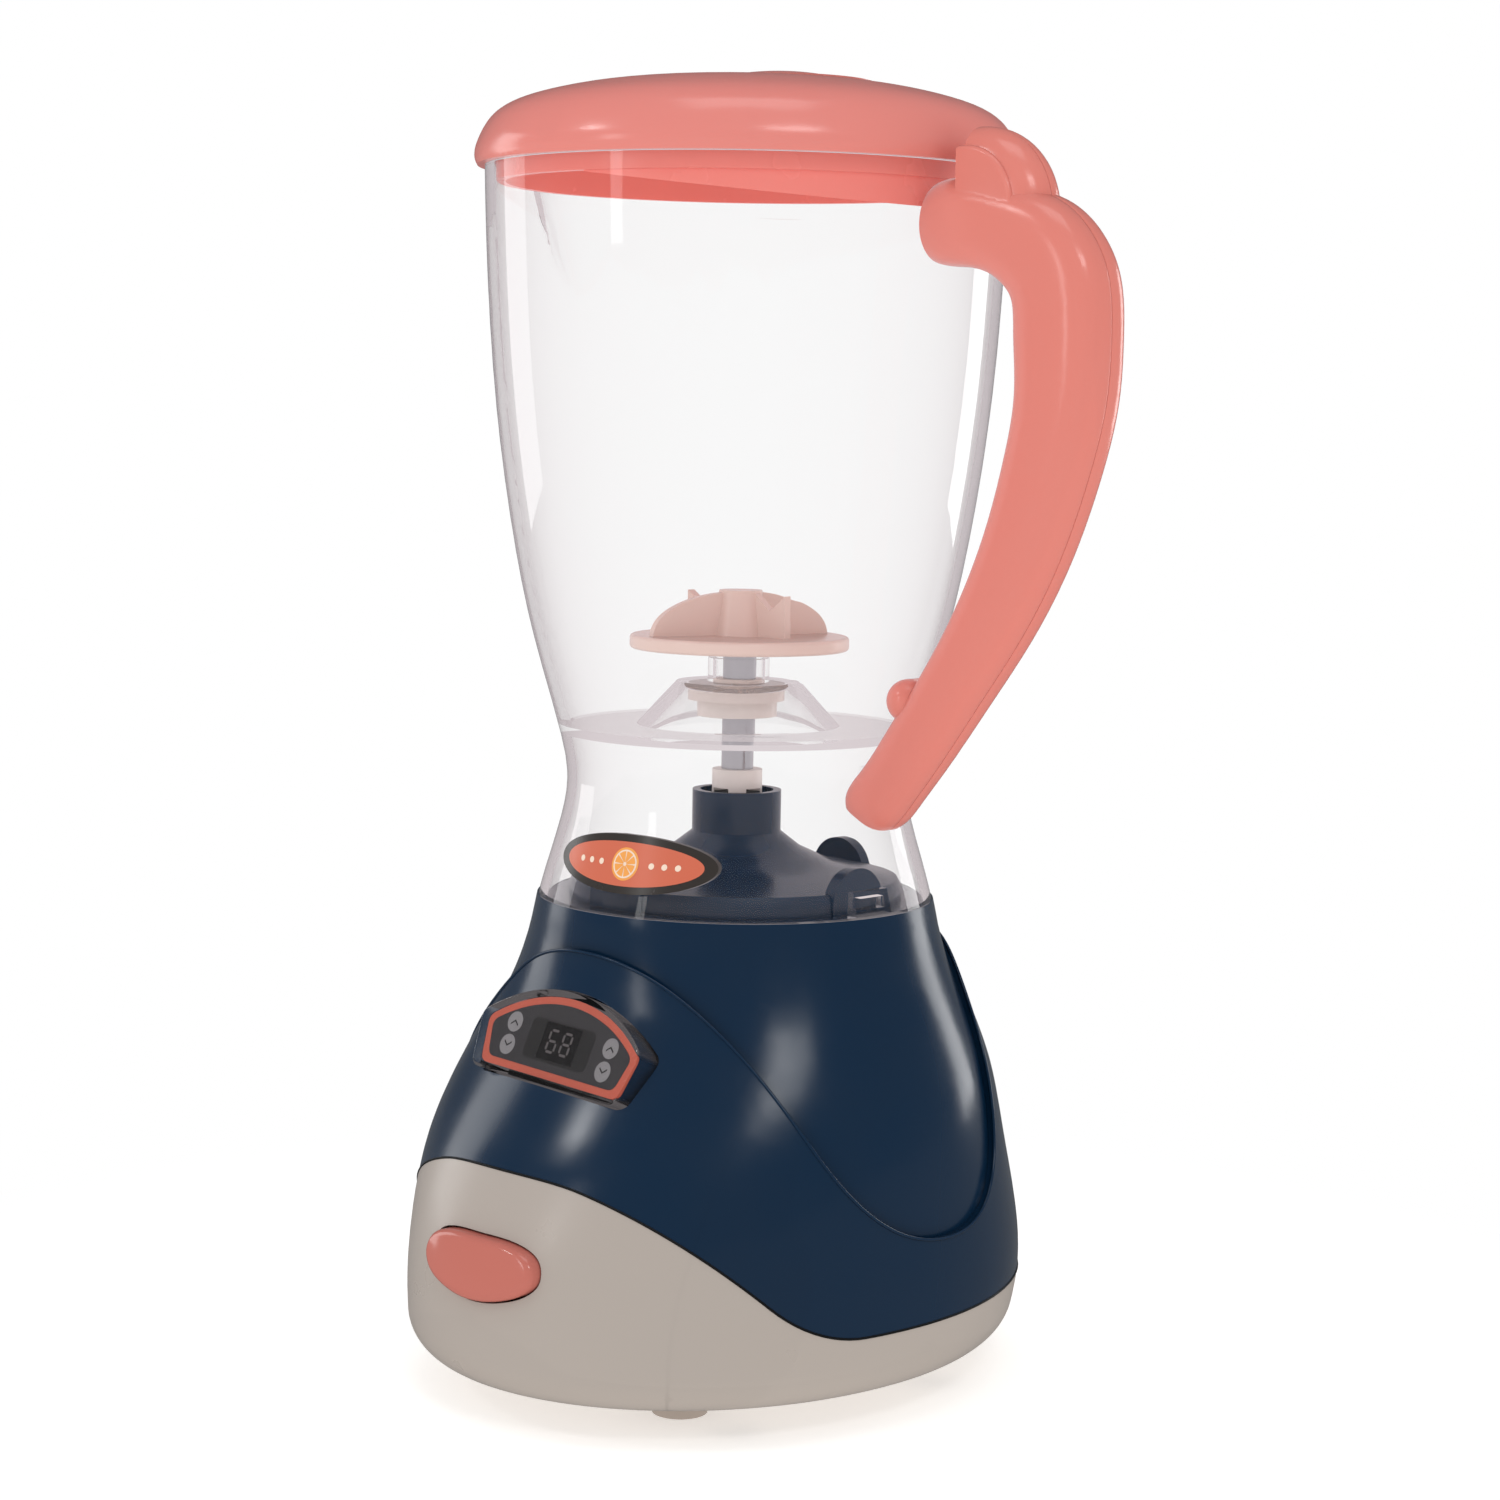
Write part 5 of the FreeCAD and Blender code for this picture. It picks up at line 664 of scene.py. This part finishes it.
def pocket_wall(name, shrink, low, high, thickness, material):
    """A thin sleeve that follows the card's edge behind the cap's side walls."""
    bm = bmesh.new()
    ring = [bm.verts.new(on_card(x, y, low)) for x, y in arched(shrink)]
    for i, corner in enumerate(ring):
        bm.edges.new([ring[i - 1], corner])
    grown = bmesh.ops.extrude_edge_only(bm, edges=bm.edges[:])
    lifted = [v for v in grown["geom"] if isinstance(v, bmesh.types.BMVert)]
    bmesh.ops.translate(bm, verts=lifted, vec=on_card(0, 0, high) - on_card(0, 0, low))
    bmesh.ops.recalc_face_normals(bm, faces=bm.faces)
    bmesh.ops.solidify(bm, geom=bm.faces[:], thickness=thickness * MM)
    bmesh.ops.recalc_face_normals(bm, faces=bm.faces)
    return settle(bm, name, "base", material)


pocket_wall("display_pocket_wall", 1.4, -7.0, -1.8, 0.15, navy_abs)
card_ink = moulded("orange-red card ink", "#c25842", 0.5)
face_ink = moulded("charcoal card ink", "#39373a", 0.45)
panel_ink = moulded("black card ink", "#282728", 0.4)
window_ink = moulded("black display glass", "#1b1a1b", 0.2)
figure_ink = moulded("grey display figures", "#5b5657", 0.4)
key_ink = moulded("grey key print", "#878588", 0.45)
printed("orange_display_card", [arched(1.25)], -1.75, -1.35, card_ink, ["display_card"])
printed("charcoal_face", [arched(2.6)], -1.35, -1.31, face_ink)
printed("dark_panel", [rounded_box(0, -0.4, 8.4, 3.8, 1.2)], -1.31, -1.28, panel_ink)
printed("figure_window", [rounded_box(0, -0.3, 4.7, 3.4, 0.3)], -1.28, -1.25, window_ink)
printed("figures", figure(-1.8, "acdefg") + figure(1.8, "abcdefg"), -1.25, -1.23, figure_ink)
keys = [(side * 12.85, y) for side in (-1, 1) for y in (1.4, -2.9)]
printed("round_keys", [disc(x, y, 1.9) for x, y in keys], -1.31, -1.27, key_ink)
printed("key_chevrons", [chevron(x, y, 1 if y > 0 else -1) for x, y in keys], -1.27, -1.25, panel_ink)
lamp_plastic = moulded("diffused lamp", "#e6e3dc", 0.35)
joined_copy("display_lamp", "lamp_dome", "base", lamp_plastic)

# ---------------------------------------------------------------------------------------------
# Jug: a clear polystyrene shell with a raised cone in its floor, moulded in one piece. A beige
# acetal bush, held by a lock ring, carries the rotor's shaft, and an oval plate with printed
# ink sits on the skirt.
# ---------------------------------------------------------------------------------------------
# the fourth number is the strength of the painted pale glow inside the jug's walls
clear_jug = clear_plastic("clear jug polystyrene", "#fefefe", "#f4eff0", 0.8, worn=0.003)
joined_copy("jug_body", "clear_jug_shell", "jug", clear_jug)
# a faint painted glow brightens the beige acetal of the bush, the lock ring and the coupler
bush_acetal = moulded("beige acetal", "#e2d7d3", 0.35, painted_glow=0.06)
joined_copy("shaft_bush", "acetal_bush", "jug", bush_acetal)
joined_copy("bush_lock_ring", "acetal_lock_ring", "jug", bush_acetal)
plate_plastic = moulded("dark printed plate", "#37322f", 0.25)
joined_copy("jug_badge", "oval_plate", "jug", plate_plastic)
BADGE_TURN = math.radians(-80)
BADGE_HEIGHT = 98.6
OUTSIDE = 0.08
plate_shape = bmesh.new()
plate_shape.from_mesh(nodes["jug_badge"].data)
plate_tree = BVHTree.FromBMesh(plate_shape)
plate_shape.free()


def on_badge(across, rise, lift):
    """The point of the plate's front that lies so far across and above its middle."""
    out = Vector((math.cos(BADGE_TURN), math.sin(BADGE_TURN), 0))
    beside = Vector((-out.y, out.x, 0))
    start = out * OUTSIDE + beside * across * MM + Vector((0, 0, (BADGE_HEIGHT + rise) * MM))
    hit, normal, _, _ = plate_tree.ray_cast(start, -out)
    return hit + normal * lift * MM


BADGE_RINGS = 8
BADGE_STEPS = 64


def badge_disc(name, x, y, half_x, half_y, lift, material, first=0.0, sweep=math.tau, inner=0.0):
    """An oval or a wedge of print that follows the plate."""
    bm = bmesh.new()
    steps = max(6, int(round(BADGE_STEPS * sweep / math.tau)))
    count = steps if sweep == math.tau else steps + 1
    angles = [first + sweep * i / steps for i in range(count)]
    rings = []
    for k in range(BADGE_RINGS + 1):
        part = inner + (1 - inner) * k / BADGE_RINGS
        rings.append([
            bm.verts.new(on_badge(x + half_x * part * math.cos(a), y + half_y * part * math.sin(a), lift))
            for a in angles
        ])
    for low, high in zip(rings, rings[1:]):
        for i in range(steps):
            j = (i + 1) % len(low)
            bm.faces.new([low[i], high[i], high[j], low[j]])
    bmesh.ops.remove_doubles(bm, verts=bm.verts, dist=SPECK)
    bmesh.ops.recalc_face_normals(bm, faces=bm.faces)
    return settle(bm, name, "jug", material)


orange_ink = moulded("orange plate ink", "#d06a4f", 0.3)
pale_ink = moulded("pale plate ink", "#f1d9c4", 0.3)
slice_ink = moulded("citrus plate ink", "#f0a24e", 0.3)
badge_disc("orange_field", 0, 0, 15.0, 3.9, 0.03, orange_ink)
badge_disc("slice_rind", 0, 0, 2.9, 2.9, 0.06, slice_ink)
badge_disc("slice_pith", 0, 0, 2.5, 2.5, 0.09, pale_ink)
SEGMENTS, SEGMENT_GAP = 8, 0.08
for i in range(SEGMENTS):
    badge_disc(
        f"slice_segment_{i}", 0, 0, 2.2, 2.2, 0.12, slice_ink,
        first=math.tau * (i + SEGMENT_GAP) / SEGMENTS, sweep=math.tau * 0.84 / SEGMENTS, inner=0.16,
    )
for i, x in enumerate((-10.5, -8.0, -5.5, 5.5, 8.0, 10.5)):
    badge_disc(f"plate_dot_{i}", x, 0, 0.55, 0.55, 0.06, pale_ink)

# ---------------------------------------------------------------------------------------------
# Handle: two coral ABS shells, screwed together across the handle. Their parting line runs round
# the outside, and its edges are rounded a little.
# ---------------------------------------------------------------------------------------------
coral_abs = moulded("coral ABS", "#dc8074", 0.2, sink=0.05)
PARTING_ROUND = 0.28


def on_parting(edge):
    """Whether an edge lies in the plane where the halves meet."""
    return all(abs(v.co.y) < 1e-5 for v in edge.verts)


for half in ("front", "rear"):
    joined_copy(
        f"handle_{half}_half", f"coral_handle_{half}", "jug", coral_abs,
        soften=PARTING_ROUND, only=on_parting,
    )
joined_copy("handle_screws", "plated_handle_screws", "jug", zinc)

# ---------------------------------------------------------------------------------------------
# Rotor: a blush-coloured ABS disc with fins, pressed on a ground shaft that turns in the jug's
# bush, and the driven half of the coupling at its lower end.
# ---------------------------------------------------------------------------------------------
# a faint painted glow brightens the rotor's blush plastic
blush_abs = moulded("blush ABS", "#e0c6bd", 0.22, painted_glow=0.05)
joined_copy("blade_rotor", "blush_rotor", "rotor", blush_abs)
joined_copy("rotor_shaft", "ground_rotor_shaft", "rotor", ground_steel)
joined_copy("rotor_coupler", "acetal_coupler", "rotor", bush_acetal)

# ---------------------------------------------------------------------------------------------
# Lid: a hollow coral ABS dome with a ring that plugs the jug, a strainer wall that hangs into
# it and a centre cap. All are moulded, and lift off by hand.
# ---------------------------------------------------------------------------------------------
lid_abs = moulded("lid coral ABS", "#df857c", 0.2, sink=0.06)
joined_copy("lid_dome", "coral_dome", "lid", lid_abs)
# a strainer wall 1 mm thin: its coral, redder than the lid's, and a painted glow stand in for daylight that
# soaks through
strainer_abs = moulded("thin coral ABS wall", "#e07a70", 0.25, sink=0.06, painted_glow=0.2)
joined_copy("lid_strainer", "coral_strainer", "lid", strainer_abs)
joined_copy("lid_cap", "coral_cap", "cap", lid_abs)
